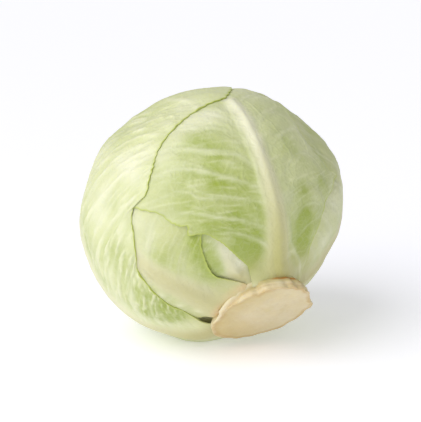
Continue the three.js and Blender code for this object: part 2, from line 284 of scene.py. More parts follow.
FRONT_LEFT_VEINS = [
    [(33, 95), (41, 104), (47, 113), (52, 121), (56, 130)],
    [(44, 97), (50, 105), (56, 116), (61, 125), (66, 132), (70, 139), (74, 146)],
    [(55, 98), (60, 104), (66, 117), (71, 128), (75, 131), (78, 136), (80, 146)],
    [(63, 99), (69, 107), (75, 116), (80, 122), (84, 128), (87, 136), (89, 150)],
    [(71, 100), (76, 103), (82, 108), (88, 119), (95, 129), (98, 136), (101, 152)],
    [(80, 100), (86, 102), (93, 107), (99, 117), (104, 127), (109, 142), (112, 158)],
    [(90, 100), (97, 103), (104, 109), (111, 119), (117, 134), (120, 152)],
    [(101, 99), (109, 104), (117, 112), (125, 126), (129, 146)],
    [(114, 98), (123, 104), (132, 115), (138, 134)],
    [(128, 98), (138, 107), (146, 124)],
]
FRONT_RIGHT_VEINS = [
    [(30, 84), (33, 72), (35, 60), (36, 52)],
    [(38, 80), (43, 74), (48, 69), (52, 61)],
    [(48, 83), (54, 79), (57, 72), (57, 64), (53, 59)],
    [(58, 86), (63, 82), (65, 73), (64, 65), (60, 60)],
    [(67, 87), (73, 85), (77, 79), (78, 70), (75, 63), (70, 59)],
    [(76, 97), (82, 90), (88, 79), (90, 70), (86, 65), (80, 62)],
    [(88, 97), (95, 88), (99, 77), (99, 70)],
    [(100, 97), (108, 89), (113, 78), (114, 72)],
    [(114, 96), (122, 90), (128, 80)],
    [(128, 96), (138, 91), (144, 85)],
]
FRONT_LONG_VEINS = [
    [(20, 28), (27, 50), (32, 66), (37, 78), (44, 86), (52, 89)],
]
FRONT_STRANDS = [
    [(19, 92), (30, 99), (42, 100), (55, 101), (70, 101.5), (88, 101), (104, 99.5)],
    [(19, 62), (28, 78), (38, 86), (50, 91.5), (64, 94.5), (80, 96.5), (98, 96.5)],
]
LOWER_RIGHT_VEINS = [
    [(30, 168), (36, 160), (40, 153)],
    [(44, 166), (50, 158), (54, 152), (56, 146)],
    [(54, 166), (57, 158), (60, 149), (63, 141), (66, 134)],
    [(62, 168), (66, 163), (71, 155), (75, 147), (77, 138)],
    [(72, 169), (78, 162), (84, 152), (88, 138), (89, 124)],
    [(84, 168), (91, 160), (97, 148), (101, 130)],
    [(98, 166), (106, 157), (112, 142), (115, 122)],
    [(114, 164), (122, 155), (128, 138)],
]

# Greener patches of blade between the veins: place, reach in degrees and strength.
FRONT_PATCHES = (
    ((92, 115), 7, 0.75), ((81, 116), 7, 0.8), ((72, 119), 6, 0.7), ((69, 109), 6, 0.3),
    ((80, 128), 6, 0.3), ((72, 135), 6, 0.3), ((74, 77), 5, 0.7), ((62, 76), 5, 0.7),
    ((51, 73), 6, 1.1), ((57, 106), 8, 0.35), ((46, 112), 8, 1.1), ((37, 120), 8, 1.3),
    ((56, 127), 6, 1.0), ((82, 82), 6, 0.6), ((43, 70), 6, 1.1), ((37, 60), 7, 1.2),
    ((66, 62), 5, 0.8), ((76, 58), 4, 0.4), ((96, 82), 8, 0.5), ((110, 110), 14, 0.3),
    ((104, 74), 8, 0.5), ((48, 90), 5, 0.4), ((35, 82), 6, 0.5), ((60, 106), 13, 0.25),
    ((48, 116), 12, 0.45), ((76, 104), 10, 0.15), ((66, 104), 7, 0.1), ((52, 60), 5, 0.8),
    ((63, 133), 7, 0.6), ((88, 128), 10, 0.2), ((57, 121), 7, 0.5),
)
LEFT_PATCHES = (
    ((58, 188), 8, 1.2), ((50, 196), 8, 1.4), ((42, 204), 7, 1.4), ((70, 178), 7, 0.4),
    ((78, 174), 7, 0.35), ((122, 142), 7, 0.4), ((106, 129), 5, 0.25), ((112, 150), 5, 0.3),
    ((92, 163), 6, 0.4), ((64, 250), 25, 0.5), ((110, 260), 30, 0.45), ((140, 150), 20, 0.4),
    ((60, 290), 18, 0.55), ((98, 198), 16, 0.7), ((78, 200), 12, 0.3),
)
LOWER_LEFT_PATCHES = (
    ((52, 143), 5, 1.0), ((45, 147), 5, 0.9), ((58, 140), 4, 0.9), ((70, 156), 5, 0.3),
    ((38, 148), 5, 0.6), ((62, 158), 8, 0.3),
)
# On the showing inner leaf the strong patches are partly its own green, partly painted shade where
# it lies sunk between the wrappers.
SHOWING_INNER_PATCHES = (((51, 141), 9, 1.7), ((42, 143), 6, 1.3), ((90, 140), 30, 0.6))
RIGHT_PATCHES = (
    ((70, 350), 24, 0.5), ((104, 40), 18, 0.6), ((110, 0), 30, 0.5), ((90, 325), 22, 0.5),
    ((82, 60), 10, 0.5), ((36, 14), 6, 0.5),
)
# Whiter places, in the same form. Most are the blade's own paler colour; some are painted light:
# highlights on the left wrapper, a highlight line along the lower left leaf's rib, and a lift of the
# front wrapper's shaded right side.
FRONT_PALES = (
    ((105, 117), 7, 0.8), ((101, 108), 6, 0.7), ((101, 126), 5, 0.4), ((103, 97), 4, 0.9),
    ((94, 97), 4, 0.8), ((86, 97), 3, 0.6), ((27, 50), 3, 0.4), ((34, 76), 3, 0.3),
    ((19, 123), 3.5, 1.0), ((95, 134), 5, 0.6), ((70, 78), 6, 0.2), ((60, 90), 5, 0.25),
    # The two broad, faint places at turns 74 and 82 are painted light, lifting the shaded right side
    # of the front wrapper.
    ((96, 74), 16, 0.3), ((112, 82), 14, 0.3), ((52, 60), 2.5, 0.3),
)
LEFT_PALES = (
    ((103, 149), 6, 0.8), ((98, 162), 6, 0.7), ((95, 147), 5, 0.7), ((100, 138), 5, 0.6),
    ((58, 211), 5, 0.35), ((50, 212), 5, 0.4), ((42, 217), 5, 0.4), ((66, 210), 5, 0.4),
    ((116, 113), 6, 0.6), ((121, 160), 8, 0.4), ((92, 170), 6, 0.5), ((34, 224), 4, 0.3),
    ((108, 127), 5, 0.4), ((120, 138), 5, 0.3),
)
LOWER_LEFT_PALES = (
    # The four narrow places from (62, 175) to (32, 194) paint a highlight line along the rib's
    # ridge.
    ((79, 156), 6, 0.5), ((71, 155), 5, 0.35), ((69, 163), 5, 0.4), ((62, 175), 2, 0.3),
    ((51, 182), 2, 0.6), ((41, 188), 2, 0.6), ((32, 194), 2.4, 0.5),
)
SHOWING_INNER_PALES = (((46, 128), 5, 0.9), ((37, 126), 5, 0.9))
RIGHT_PALES = (((62, 50), 8, 0.5), ((46, 36), 6, 0.5))


# ---- settings that a user would change ----


def paint(red, green, blue):
    """A display colour, 0 to 255 each, as the linear colour that the renderer uses."""
    return tuple(
        value / 12.92 if value <= 0.04045 else ((value + 0.055) / 1.055) ** 2.4
        for value in (red / 255, green / 255, blue / 255)
    )


def length_setting(name, description, default):
    return bpy.props.FloatProperty(
        name=name, description=description, default=default, min=0, unit="LENGTH", precision=4
    )


def angle_setting(name, description, default):
    return bpy.props.FloatProperty(
        name=name, description=description, default=math.radians(default), unit="ROTATION"
    )


def colour_setting(name, description, default):
    return bpy.props.FloatVectorProperty(
        name=name, description=description, default=default, size=3, min=0, max=1,
        subtype="COLOR",
    )


class HeadSettings(bpy.types.PropertyGroup):
    """Sizes of the head and of how its leaves lie over one another."""

    radius: length_setting("Radius", "Head's radius at its widest", 84 * MM)
    blade: length_setting("Blade", "Thickness of a leaf blade", 0.5 * MM)
    pitch: length_setting("Pitch", "From one leaf's outer face to the next one's", 0.75 * MM)
    deep_pitch: length_setting("Inner Pitch", "The same, among the inner leaves", 2.0 * MM)
    ledge: angle_setting("Ledge", "How far past a margin the leaf under it stays low", 0.7)
    tuck: angle_setting("Tuck", "How far it then takes to reach the head's surface", 6)
    undulation: length_setting("Undulation", "Height of the head's slow waves", 0.4 * MM)
    vein_height: length_setting("Vein Height", "How far a strong side vein stands up", 0.7 * MM)
    vein_width: length_setting("Vein Half Width", "Of a side vein where it leaves the rib", 2.7 * MM)
    pillow: length_setting("Pillow", "How far the blade bulges between veins", 0.6 * MM)
    crinkle: length_setting("Crinkle", "Height of the blade's small waves", 0.8 * MM)


class StemSettings(bpy.types.PropertyGroup):
    """Sizes of the stem and its cut foot."""

    neck_radius: length_setting("Neck Radius", "Where the leaves grow from it", 25.5 * MM)
    neck_depth: length_setting("Neck Depth", "From the head's middle, along the stem", 57 * MM)
    foot_radius: length_setting("Foot Radius", "Of the cut foot on its upper side", 29 * MM)
    foot_depth: length_setting("Foot Depth", "Middle of the cut, from the head's middle", 73 * MM)
    foot_sag: length_setting("Foot Sag", "How far the foot bulges on its lower side", 11 * MM)


class LeafColours(bpy.types.PropertyGroup):
    """Colours of the leaves."""

    outer_blade: colour_setting("Outer Blade", "Pale outermost leaf", paint(220, 224, 170))
    front_blade: colour_setting("Front Blade", "Front wrapper leaf", paint(206, 211, 156))
    under_blade: colour_setting("Under Blade", "Leaves under the wrappers", paint(202, 206, 148))
    inner_blade: colour_setting("Inner Blade", "Leaves inside the head", paint(205, 209, 164))
    green: colour_setting("Green", "Greenest patches of blade", paint(156, 172, 62))
    # margin is partly the thin edge's own green, partly painted light: the shadow line along the
    # edge and light glowing through it.
    margin: colour_setting("Margin", "Thin edge of a leaf", paint(178, 192, 72))
    vein: colour_setting("Vein", "Side veins", paint(235, 236, 212))
    # pale is also laid on as painted highlight: along the streaks and in some of the whiter places.
    pale: colour_setting("Pale", "Whitest places of the blade", paint(240, 239, 208))
    rib: colour_setting("Rib", "Middle ribs", paint(230, 227, 196))
    front_base: colour_setting("Front Base", "Base of the front wrapper", paint(190, 186, 114))
    base: colour_setting("Base", "Bases of the other leaves", paint(196, 191, 134))
    foot_mark: colour_setting("Foot Mark", "Dry skin at the foot of a leaf", paint(222, 190, 140))


class StemColours(bpy.types.PropertyGroup):
    """Colours of the stem and its cut."""

    cut: colour_setting("Cut", "Freshly cut face", paint(221, 207, 162))
    pith: colour_setting("Pith", "Paler middle of the cut", paint(226, 215, 184))
    yellowed: colour_setting("Yellowed", "Drier side of the cut", paint(205, 184, 118))
    skin: colour_setting("Skin", "Side of the foot", paint(234, 222, 186))
    join: colour_setting("Join", "Where the leaves grow from it", paint(196, 188, 124))
    # The same brown is laid into the foot's creases and into the groove beside the ridge as painted
    # shade.
    browning_and_crease_shade: colour_setting("Bruise", "Browned rim and creases", paint(190, 156, 90))
    scar: colour_setting("Scar", "Orange-brown line under a leaf base", paint(188, 122, 36))


class StageSettings(bpy.types.PropertyGroup):
    """Floor, light and camera."""

    floor_size: length_setting("Floor Size", "Side of the square floor", 30.0)
    camera: bpy.props.FloatVectorProperty(
        name="Camera", description="Camera's place", size=3, subtype="XYZ", unit="LENGTH",
        default=(-1.246 * MM, -716.834 * MM, 261.166 * MM),
    )
    camera_tilt: angle_setting("Camera Tilt", "How far the camera looks down", 14)
    sun: bpy.props.FloatProperty(name="Sun", description="Upper light's strength", default=1.35)
    sun_softness: angle_setting("Sun Softness", "How wide the upper light is", 44)
    softbox: bpy.props.FloatProperty(name="Softbox", description="Front light's watts", default=2.5)
    fill: bpy.props.FloatProperty(name="Fill", description="Light from all round", default=0.49)
    floor_glow: bpy.props.FloatProperty(
        name="Floor Glow", description="Light of its own that the white floor gives", default=0.26
    )


SETTINGS = {
    "cabbage_head": HeadSettings,
    "cabbage_stem": StemSettings,
    "cabbage_leaf_colours": LeafColours,
    "cabbage_stem_colours": StemColours,
    "cabbage_stage": StageSettings,
}

# ---- directions from the head's middle ----


def unit(vectors):
    return vectors / np.linalg.norm(vectors, axis=-1, keepdims=True)


def bearing(azimuth, drop):
    turn = math.radians(azimuth)
    down = math.radians(drop)
    return np.array(
        (math.cos(down) * math.cos(turn), math.cos(down) * math.sin(turn), -math.sin(down))
    )


STEM_AXIS = bearing(STEM_AZIMUTH, STEM_DROP)
RISE_AXIS = bearing(STEM_AZIMUTH, STEM_DROP - 90)
SIDE_AXIS = np.cross(RISE_AXIS, STEM_AXIS)
CUT_NORMAL = bearing(CUT_AZIMUTH, CUT_DROP)
DOWN = np.array((0.0, 0.0, -1.0))


def outward(turn):
    """Unit vectors square to the stem, at turns round it."""
    angle = np.radians(np.asarray(turn, float))[..., None]
    return np.cos(angle) * SIDE_AXIS + np.sin(angle) * RISE_AXIS


def direction(places):
    """Unit vectors to [polar, turn] places."""
    places = np.asarray(places, float)
    polar = np.radians(places[..., :1])
    return np.sin(polar) * outward(places[..., 1]) + np.cos(polar) * STEM_AXIS


def polar_and_turn(dirs):
    polar = np.degrees(np.arccos(np.clip(dirs @ STEM_AXIS, -1, 1)))
    turn = np.degrees(np.arctan2(dirs @ RISE_AXIS, dirs @ SIDE_AXIS)) % 360
    return polar, turn


def degrees_between(dirs, axis):
    return np.degrees(np.arccos(np.clip(dirs @ axis, -1, 1)))


def smooth_step(value, low, high):
    share = np.clip((value - low) / (high - low), 0, 1)
    return share * share * (3 - 2 * share)


def lerp(ends, share):
    return ends[0] + (ends[1] - ends[0]) * share


def towards(turn, middle):
    """1 at one turn round the stem, falling to 0 at a quarter turn from it."""
    return np.maximum(0, np.cos(np.radians(turn - middle)))


def spot(dirs, place, reach):
    """1 at a place, falling smoothly to 0 round it."""
    return np.exp(-((degrees_between(dirs, direction(place)) / reach) ** 2))


def window(turn, start, end, fade):
    """1 between two turns, falling to 0 over a fade outside them."""
    middle = (start + end) / 2
    away = np.abs((turn - middle + 180) % 360 - 180)
    return 1 - smooth_step(away, (end - start) / 2, (end - start) / 2 + fade)


def great_circle(start, end, share):
    """Unit vectors a share of the way from one direction to another."""
    angle = np.arccos(np.clip((start * end).sum(-1, keepdims=True), -1, 1))
    small = angle < 1e-6
    angle = np.where(small, 1.0, angle)
    mixed = (np.sin((1 - share) * angle) * start + np.sin(share * angle) * end) / np.sin(angle)
    return np.where(small, start, mixed)


def curve_through(path, shares):
    """Directions along the smooth curve through a path of directions."""
    knots = np.vstack([2 * path[0] - path[1], path, 2 * path[-1] - path[-2]])
    at = np.clip(shares, 0, 1) * (len(path) - 1)
    row = np.minimum(at.astype(int), len(path) - 2)
    t = (at - row)[:, None]
    a, b, c, d = (knots[row + step] for step in range(4))
    return unit(
        b + 0.5 * (c - a) * t + 0.5 * (2 * a - 5 * b + 4 * c - d) * t**2
        + 0.5 * (3 * b - a - 3 * c + d) * t**3
    )


def ripple(points, wavelength, seed, count=28):
    """A smooth random field of about unit height, the same for the same seed."""
    random = np.random.default_rng(seed)
    waves = unit(random.normal(size=(count, 3))) * (2 * math.pi / wavelength)
    phases = random.uniform(0, 2 * math.pi, count)
    return np.cos(points @ waves.T + phases).sum(-1) * math.sqrt(2 / count)


def distance_to_path(points, path):
    """Nearest distance from each point to a path, and the share along it."""
    nearest = np.full(len(points), np.inf)
    share = np.zeros(len(points))
    steps = len(path) - 1
    for step in range(steps):
        run = path[step + 1] - path[step]
        along = np.clip((points - path[step]) @ run / (run @ run), 0, 1)
        away = np.linalg.norm(points - path[step] - along[:, None] * run, axis=1)
        closer = away < nearest
        nearest[closer] = away[closer]
        share[closer] = (step + along[closer]) / steps
    return nearest, share


# ---- leaves as regions of the head ----


class Leaf:
    """Where one leaf lies on the head, from its row of the leaf table."""

    MARGIN_STEPS = 110
    FAR = 12.0  # degrees past the outline, where the leaf no longer matters
    RIB_STEPS = 60

    def __init__(self, number, table):
        tip = table["rib"][-1]
        self.number = number
        self.table = table
        self.rib_path = direction(table["rib"])
        self.margins = {
            -1: direction(table["left"] + [tip]),
            1: direction(table["right"] + [tip]),
        }
        self.middle = curve_through(self.rib_path, np.array([0.5]))[0]
        shares = np.linspace(0, 1, self.MARGIN_STEPS + 1)
        left = self.margin(-1, shares)
        right = self.margin(1, shares)[-2::-1]
        base = curve_through(self.rib_path, np.array([0.0]))
        self.outline = self.flatten(np.vstack([left, right, base]))
        self.extent = np.linalg.norm(self.outline, axis=1).max() + self.FAR
        self.rib_steps = curve_through(self.rib_path, np.linspace(0, 1, self.RIB_STEPS + 1))

    def margin(self, side, shares):
        """Places on one margin, with the small waves that a cut or torn edge has."""
        rib = curve_through(self.rib_path, shares)
        edge = curve_through(self.margins[side], shares)
        random = np.random.default_rng(100 + 2 * self.number + side)
        wave = np.zeros(len(shares))
        for turns in (9, 17, 31, 52):
            swing = random.normal() / math.sqrt(turns)
            wave += swing * np.sin(2 * math.pi * (turns * shares + random.uniform()))
        fade = smooth_step(shares, 0, 0.1) * (1 - smooth_step(shares, 0.92, 1))
        return great_circle(rib, edge, 1 + 0.016 * (wave * fade)[:, None])

    def places(self, shares, sides):
        """Directions on the blade: share runs stem to tip, side -1 to 1 across."""
        rib = curve_through(self.rib_path, shares)
        left = self.margin(-1, shares)
        right = self.margin(1, shares)
        edge = np.where(sides[:, None] < 0, left, right)
        return great_circle(rib, edge, np.abs(sides)[:, None])

    def flatten(self, dirs):
        """Lays directions flat round the leaf's middle, keeping their angle from it."""
        side = unit(np.cross(STEM_AXIS, self.middle))
        rise = np.cross(self.middle, side)
        flat = np.stack([dirs @ side, dirs @ rise], -1)
        length = np.maximum(np.linalg.norm(flat, axis=-1, keepdims=True), 1e-9)
        return flat / length * degrees_between(dirs, self.middle)[..., None]

    def distance(self, dirs):
        """Degrees from the leaf's outline; 0 inside it."""
        everywhere = self.flatten(dirs)
        near = np.linalg.norm(everywhere, axis=1) < self.extent
        result = np.full(len(dirs), self.FAR)
        points = everywhere[near]
        nearest = np.full(len(points), np.inf)
        inside = np.zeros(len(points), bool)
        for start, end in zip(self.outline, np.roll(self.outline, -1, axis=0)):
            run = end - start
            if run @ run < 1e-9:
                continue
            share = np.clip((points - start) @ run / (run @ run), 0, 1)
            away = np.linalg.norm(points - start - share[:, None] * run, axis=1)
            nearest = np.minimum(nearest, away)
            if start[1] != end[1]:
                crosses = (start[1] > points[:, 1]) != (end[1] > points[:, 1])
                crossing = run[0] * (points[:, 1] - start[1]) / run[1] + start[0]
                inside ^= crosses & (points[:, 0] < crossing)
        result[near] = np.where(inside, 0, nearest)
        return result


class Head:
    """The head's form, and how deep each leaf lies under it."""

    def __init__(self, settings):
        self.settings = settings
        self.leaves = [Leaf(number, table) for number, table in enumerate(LEAVES)]

    def form(self, dirs):
        """The head's radius, with its swellings and the climb of the leaf bases."""
        polar, turn = polar_and_turn(dirs)
        heights = np.array([PROFILE[0], *PROFILE, PROFILE[-1]])
        at = np.clip(polar / PROFILE_STEP, 0, len(PROFILE) - 1)
        row = np.minimum(at.astype(int), len(PROFILE) - 2)
        t = at - row
        a, b, c, d = (heights[row + step] for step in range(4))
        radius = (
            (2 * t**3 - 3 * t**2 + 1) * b + (t**3 - 2 * t**2 + t) * (c - a) / 2
            + (3 * t**2 - 2 * t**3) * c + (t**3 - t**2) * (d - b) / 2
        ) * self.settings.radius
        for place, reach, height in SWELLINGS:
            radius += height * spot(dirs, place, reach)
        start, end, climb = COLLAR
        upper = 0.5 + 0.5 * np.cos(np.radians(turn - COLLAR_TURN))
        radius += climb * (1 - smooth_step(polar, start, end)) * upper
        start, widening, drop = PLUNGE
        start = start + widening * towards(turn, SAG_TURN)
        radius -= drop * (1 - smooth_step(polar, start - 5, start))
        points = dirs * self.settings.radius
        slow = ripple(points, 62 * MM, 11) + 0.6 * ripple(points, 33 * MM, 12)
        return radius + self.settings.undulation * slow * smooth_step(polar, 20, 45)

    def lie(self, layer, dirs):
        """How deep a leaf lies, how open it is to view, and how far it can swell."""
        depth = np.zeros(len(dirs))
        open_ = np.ones(len(dirs))
        slack = np.ones(len(dirs))
        ledge = math.degrees(self.settings.ledge)
        tuck = math.degrees(self.settings.tuck)
        for leaf in self.leaves[:layer]:
            away = leaf.distance(dirs)
            rise = smooth_step(away, ledge, ledge + tuck)
            deep = leaf.number >= len(LEAVES) - INNER_LEAF_COUNT
            depth += (self.settings.deep_pitch if deep else self.settings.pitch) * (1 - rise)
            open_ *= smooth_step(away, 0.1, 2.2)
            slack *= rise
        if layer > 0:
            reach, height = DENT
            depth += height * np.exp(-((degrees_between(dirs, DOWN) / reach) ** 2))
            for place, reach, height in STANDOFFS:
                depth += height * spot(dirs, place, reach)
        return depth, open_, slack

    def rib(self, layer, dirs, form):
        """Distance to a leaf's rib, its half width there, and how far along the rib that is."""
        leaf = self.leaves[layer]
        away, share = distance_to_path(dirs, leaf.rib_steps)
        half_width = lerp(leaf.table["rib_half_width"], np.sqrt(share))
        return away * form, half_width, share

    def faces(self, layer, dirs):
        """A leaf's outer radius, the same without its rib, and what its surface needs."""
        form = self.form(dirs)
        depth, open_, slack = self.lie(layer, dirs)
        away, half_width, share = self.rib(layer, dirs, form)
        table = self.leaves[layer].table
        across = np.minimum(away / half_width, 1)
        crest = np.minimum(away / (0.42 * half_width), 1)
        shape = 0.8 * np.cos(across * math.pi / 2) ** 2 + 0.2 * np.cos(crest * math.pi / 2) ** 2
        polar, _ = polar_and_turn(dirs)
        swelling = lerp(table["rib_height"], np.sqrt(share)) * shape * slack
        swelling *= smooth_step(polar, *table.get("rib_fade", RIB_FADE))
        plain = form - depth
        if layer == 0:
            ground = np.where(dirs[:, 2] < -0.05, CENTRE[2] / np.maximum(-dirs[:, 2], 0.05), 1)
            outer = np.minimum(plain + swelling, ground)
            plain = np.minimum(plain, ground)
            height = CENTRE[2] + outer * dirs[:, 2]
            open_ = open_ * smooth_step(height, 0.4 * MM, 6 * MM)
        else:
            outer = plain + swelling
        return outer, plain, open_, away / half_width, share


def on_head(dirs, radius):
    return CENTRE + dirs * radius[:, None]


# ---- meshes ----


def mesh_object(name, points, faces, values=None):
    """A smooth-shaded mesh object with named values on its points."""
    mesh = bpy.data.meshes.new(name)
    mesh.from_pydata(points.tolist(), [], faces)
    mesh.validate()
    for attribute, numbers in (values or {}).items():
        layer = mesh.attributes.new(attribute, "FLOAT", "POINT")
        layer.data.foreach_set("value", np.asarray(numbers, np.float32))
    mesh.shade_smooth()
    made = bpy.data.objects.new(name, mesh)
    bpy.context.scene.collection.objects.link(made)
    return made


def finish_piece(piece, nodes, material):
    """Gives a piece its material, hangs it on the body and hides the CAD nodes that it stands for.
    """
    piece.data.materials.clear()
    piece.data.materials.append(material)
    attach(piece, BODY)
    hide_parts(*nodes)


def quads_between(lower, upper):
    """Faces between two rows of point numbers of the same length."""
    return [
        (lower[i], lower[i + 1], upper[i + 1], upper[i]) for i in range(len(lower) - 1)
    ]


def fan_to(lower, tip):
    return [(lower[i], lower[i + 1], tip) for i in range(len(lower) - 1)]


def edge_band(fine, coarse):
    """Faces joining an edge to one with every second point of it."""
    faces = []
    for k in range(len(coarse) - 1):
        first, middle, last = fine[2 * k:2 * k + 3]
        faces.append((coarse[k], first, middle))
        faces.append((coarse[k], middle, coarse[k + 1]))
        faces.append((coarse[k + 1], middle, last))
    return faces


def reversed_faces(faces):
    return [face[::-1] for face in faces]


def leaf_object(head, layer):
    """A leaf's closed shell, with the values that its veins and material need."""
    leaf = head.leaves[layer]
    rows, columns = leaf.table["grid"]
    shares = np.repeat(np.arange(rows) / rows, columns + 1)
    sides = np.tile(np.linspace(-1, 1, columns + 1), rows)
    dirs = np.vstack([leaf.places(shares, sides), leaf.rib_path[-1:]])
    sides = np.append(sides, 0)
    outer, plain, open_, rib_share, along = head.faces(layer, dirs)

    left = leaf.margin(-1, np.append(shares, 1))
    right = leaf.margin(1, np.append(shares, 1))
    edge = np.where(sides[:, None] < 0, left, right)
    inset = np.linalg.norm(dirs - edge, axis=1) * head.settings.radius
    lift = np.full(len(dirs), leaf.table.get("lift", 0.0))
    for place, reach, height in leaf.table.get("curls", ()):
        lift += height * spot(dirs, place, reach)
    lift *= np.exp(-((inset / (3.2 * MM)) ** 2)) * open_
    blade = head.settings.blade * (0.5 + 0.5 * smooth_step(inset, 0, 2.5 * MM))

    tip = len(dirs) - 1
    numbers = np.arange(tip).reshape(rows, columns + 1)
    coarse = np.append(numbers[::2, ::2].ravel(), tip)
    outer_points = on_head(dirs, outer + lift)
    inner_points = on_head(dirs[coarse], (plain + lift - blade)[coarse])

    grid = numbers.tolist()
    inner_columns = columns // 2 + 1
    inner_rows = rows // 2
    start = tip + 1
    inner_grid = (np.arange(inner_rows * inner_columns) + start).reshape(inner_rows, -1).tolist()
    inner_tip = start + inner_rows * inner_columns
    faces = []
    for row in range(rows - 1):
        faces += quads_between(grid[row], grid[row + 1])
    faces += fan_to(grid[-1], tip)
    inner_faces = []
    for row in range(inner_rows - 1):
        inner_faces += quads_between(inner_grid[row], inner_grid[row + 1])
    inner_faces += fan_to(inner_grid[-1], inner_tip)
    faces += reversed_faces(inner_faces)
    for column, flip in ((0, False), (-1, True)):
        fine = [row[column] for row in grid] + [tip]
        band = edge_band(fine, [row[column] for row in inner_grid] + [inner_tip])
        faces += reversed_faces(band) if flip else band
    faces += reversed_faces(edge_band(grid[0], inner_grid[0]))

    polar, turn = polar_and_turn(dirs)
    foot_mark = np.zeros(len(dirs))
    if "foot_mark" in leaf.table:
        start, end, reach, fade = leaf.table["foot_mark"]
        foot_mark = window(turn, start, end, 14) * (1 - smooth_step(polar, reach, reach + fade))
    green, pale = (
        sum((strength * spot(dirs, place, reach) for place, reach, strength in places), 0 * polar)
        for places in (leaf.table["patches"], leaf.table["pales"])
    )
    values = {
        "open": open_,
        "rib": 1 - smooth_step(rib_share, 0.15, 0.95),
        # The band along the margin that takes the margin colour, with its painted shadow line and
        # glow.
        "edge": np.exp(-((inset / (0.9 * MM)) ** 2)),
        "stemward": 1 - smooth_step(polar, 22, 42),
        "green": green,
        "pale": np.minimum(pale, 1),
        "foot_mark": foot_mark,
        "along": along,
        "across": sides,
    }
    both = {name: np.concatenate([value, value[coarse]]) for name, value in values.items()}
    both["open"][len(dirs):] = 0
    points = np.vstack([outer_points, inner_points])
    return mesh_object(f"sheet_{leaf.table['node']}", points, faces, both)


# ---- vein lines ----


# Lines of one rank are joined into one net; the nets are laid over one another, so that a small
# vein never cuts a strong one that it meets.
RANKS = ("Side Veins", "Small Veins", "Long Veins")


class Veins:
    """Gathers a leaf's vein lines as paths of directions with half widths and heights."""

    def __init__(self, head, layer):
        self.head = head
        self.layer = layer
        self.random = np.random.default_rng(40 + layer)
        self.lines = {rank: [] for rank in RANKS}

    def add(self, rank, dirs, half_widths, heights):
        """Adds a line whose half width and height run evenly through the given values."""
        share = np.linspace(0, 1, len(dirs))
        widths = np.interp(share, np.linspace(0, 1, len(half_widths)), half_widths)
        tall = np.interp(share, np.linspace(0, 1, len(heights)), heights)
        self.lines[rank].append((dirs, widths, tall))

    def side_vein(self, dirs, strength=1.0, rank="Side Veins"):
        """A side vein that rises out of the blade, strongest half way out, and fades again."""
        width = self.head.settings.vein_width * strength
        height = self.head.settings.vein_height * strength
        self.add(
            rank, dirs, (0.7 * width, width, width, 0.7 * width, 0.5 * width),
            (0.1 * height, 0.6 * height, height, 0.6 * height, 0.15 * height),
        )

    def through(self, places, steps=60):
        return curve_through(direction(places), np.linspace(0, 1, steps))

    def link(self, first, second, count):
        """Small veins that cross the blade between two side veins."""
        for number in range(count):
            at = (number + self.random.uniform(0.2, 0.8)) / count * 0.86 + 0.08
            slant = self.random.uniform(-0.05, 0.09)
            start = first[int(at * (len(first) - 1))]
            end = second[int(np.clip(at + slant, 0, 1) * (len(second) - 1))]
            shares = np.linspace(0, 1, 16)[:, None]
            path = great_circle(np.tile(start, (16, 1)), np.tile(end, (16, 1)), shares)
            across = unit(np.cross(start - end + 1e-9, start))
            bow = self.random.normal(0, 0.012) * np.sin(math.pi * shares)
            kink = self.random.normal(0, 0.007) * np.sin(2 * math.pi * shares)
            path = unit(path + (bow + kink) * across)
            size = self.random.uniform(0.7, 1.1)
            widths = (1.3 * MM * size, 1.1 * MM * size)
            self.add("Small Veins", path, widths, (0.24 * MM, 0.16 * MM))

    def family(self, veins, links, strength=1.0):
        """Side veins in order along the rib, with small veins between neighbours."""
        for vein in veins:
            self.side_vein(vein, strength * self.random.uniform(0.65, 1.15))
        for first, second in zip(veins, veins[1:]):
            self.link(first, second, links)

    def by_rule(self, side, count, first, last, climb, reach=0.95):
        """Side veins that leave the rib at even steps and lean towards the leaf's tip."""
        leaf = self.head.leaves[self.layer]
        veins = []
        for start in np.linspace(first, last, count):
            start += self.random.normal(0, 0.006)
            across = np.linspace(0.02, reach, 70)
            phase = self.random.uniform(0, 2 * math.pi)
            wander = 0.006 * np.sin(across * 9 + phase) * across
            lean = climb * (1 + self.random.normal(0, 0.15))
            shares = np.clip(start + lean * across**0.75 + wander, 0, 0.985)
            veins.append(leaf.places(shares, side * across))
        return veins

    def forks(self, veins, lean):
        """A branch part way along each side vein, which runs on towards the tip."""
        for vein, after in zip(veins, veins[1:]):
            at = int(len(vein) * self.random.uniform(0.3, 0.55))
            end = int(len(vein) * 0.97)
            shares = np.linspace(0, 1, end - at)[:, None] ** 0.8 * lean
            branch = great_circle(vein[at:end], after[at:end], shares)
            self.side_vein(branch, 0.6, "Long Veins")

    def net(self, rank):
        """The lines of one rank as a mesh of edges that lies on the leaf's outer face."""
        lines = self.lines[rank]
        if not lines:
            return None
        edges = []
        start = 0
        for dirs, _, _ in lines:
            edges += [(start + i, start + i + 1) for i in range(len(dirs) - 1)]
            start += len(dirs)
        dirs = np.vstack([line[0] for line in lines])
        outer = self.head.faces(self.layer, dirs)[0]
        mesh = bpy.data.meshes.new(rank)
        mesh.from_pydata(on_head(dirs, outer).tolist(), edges, [])
        for column, name in ((1, "half_width"), (2, "height")):
            layer = mesh.attributes.new(name, "FLOAT", "POINT")
            values = np.concatenate([line[column] for line in lines])
            layer.data.foreach_set("value", values.astype(np.float32))
        made = bpy.data.objects.new(rank, mesh)
        bpy.context.scene.collection.objects.link(made)
        return made


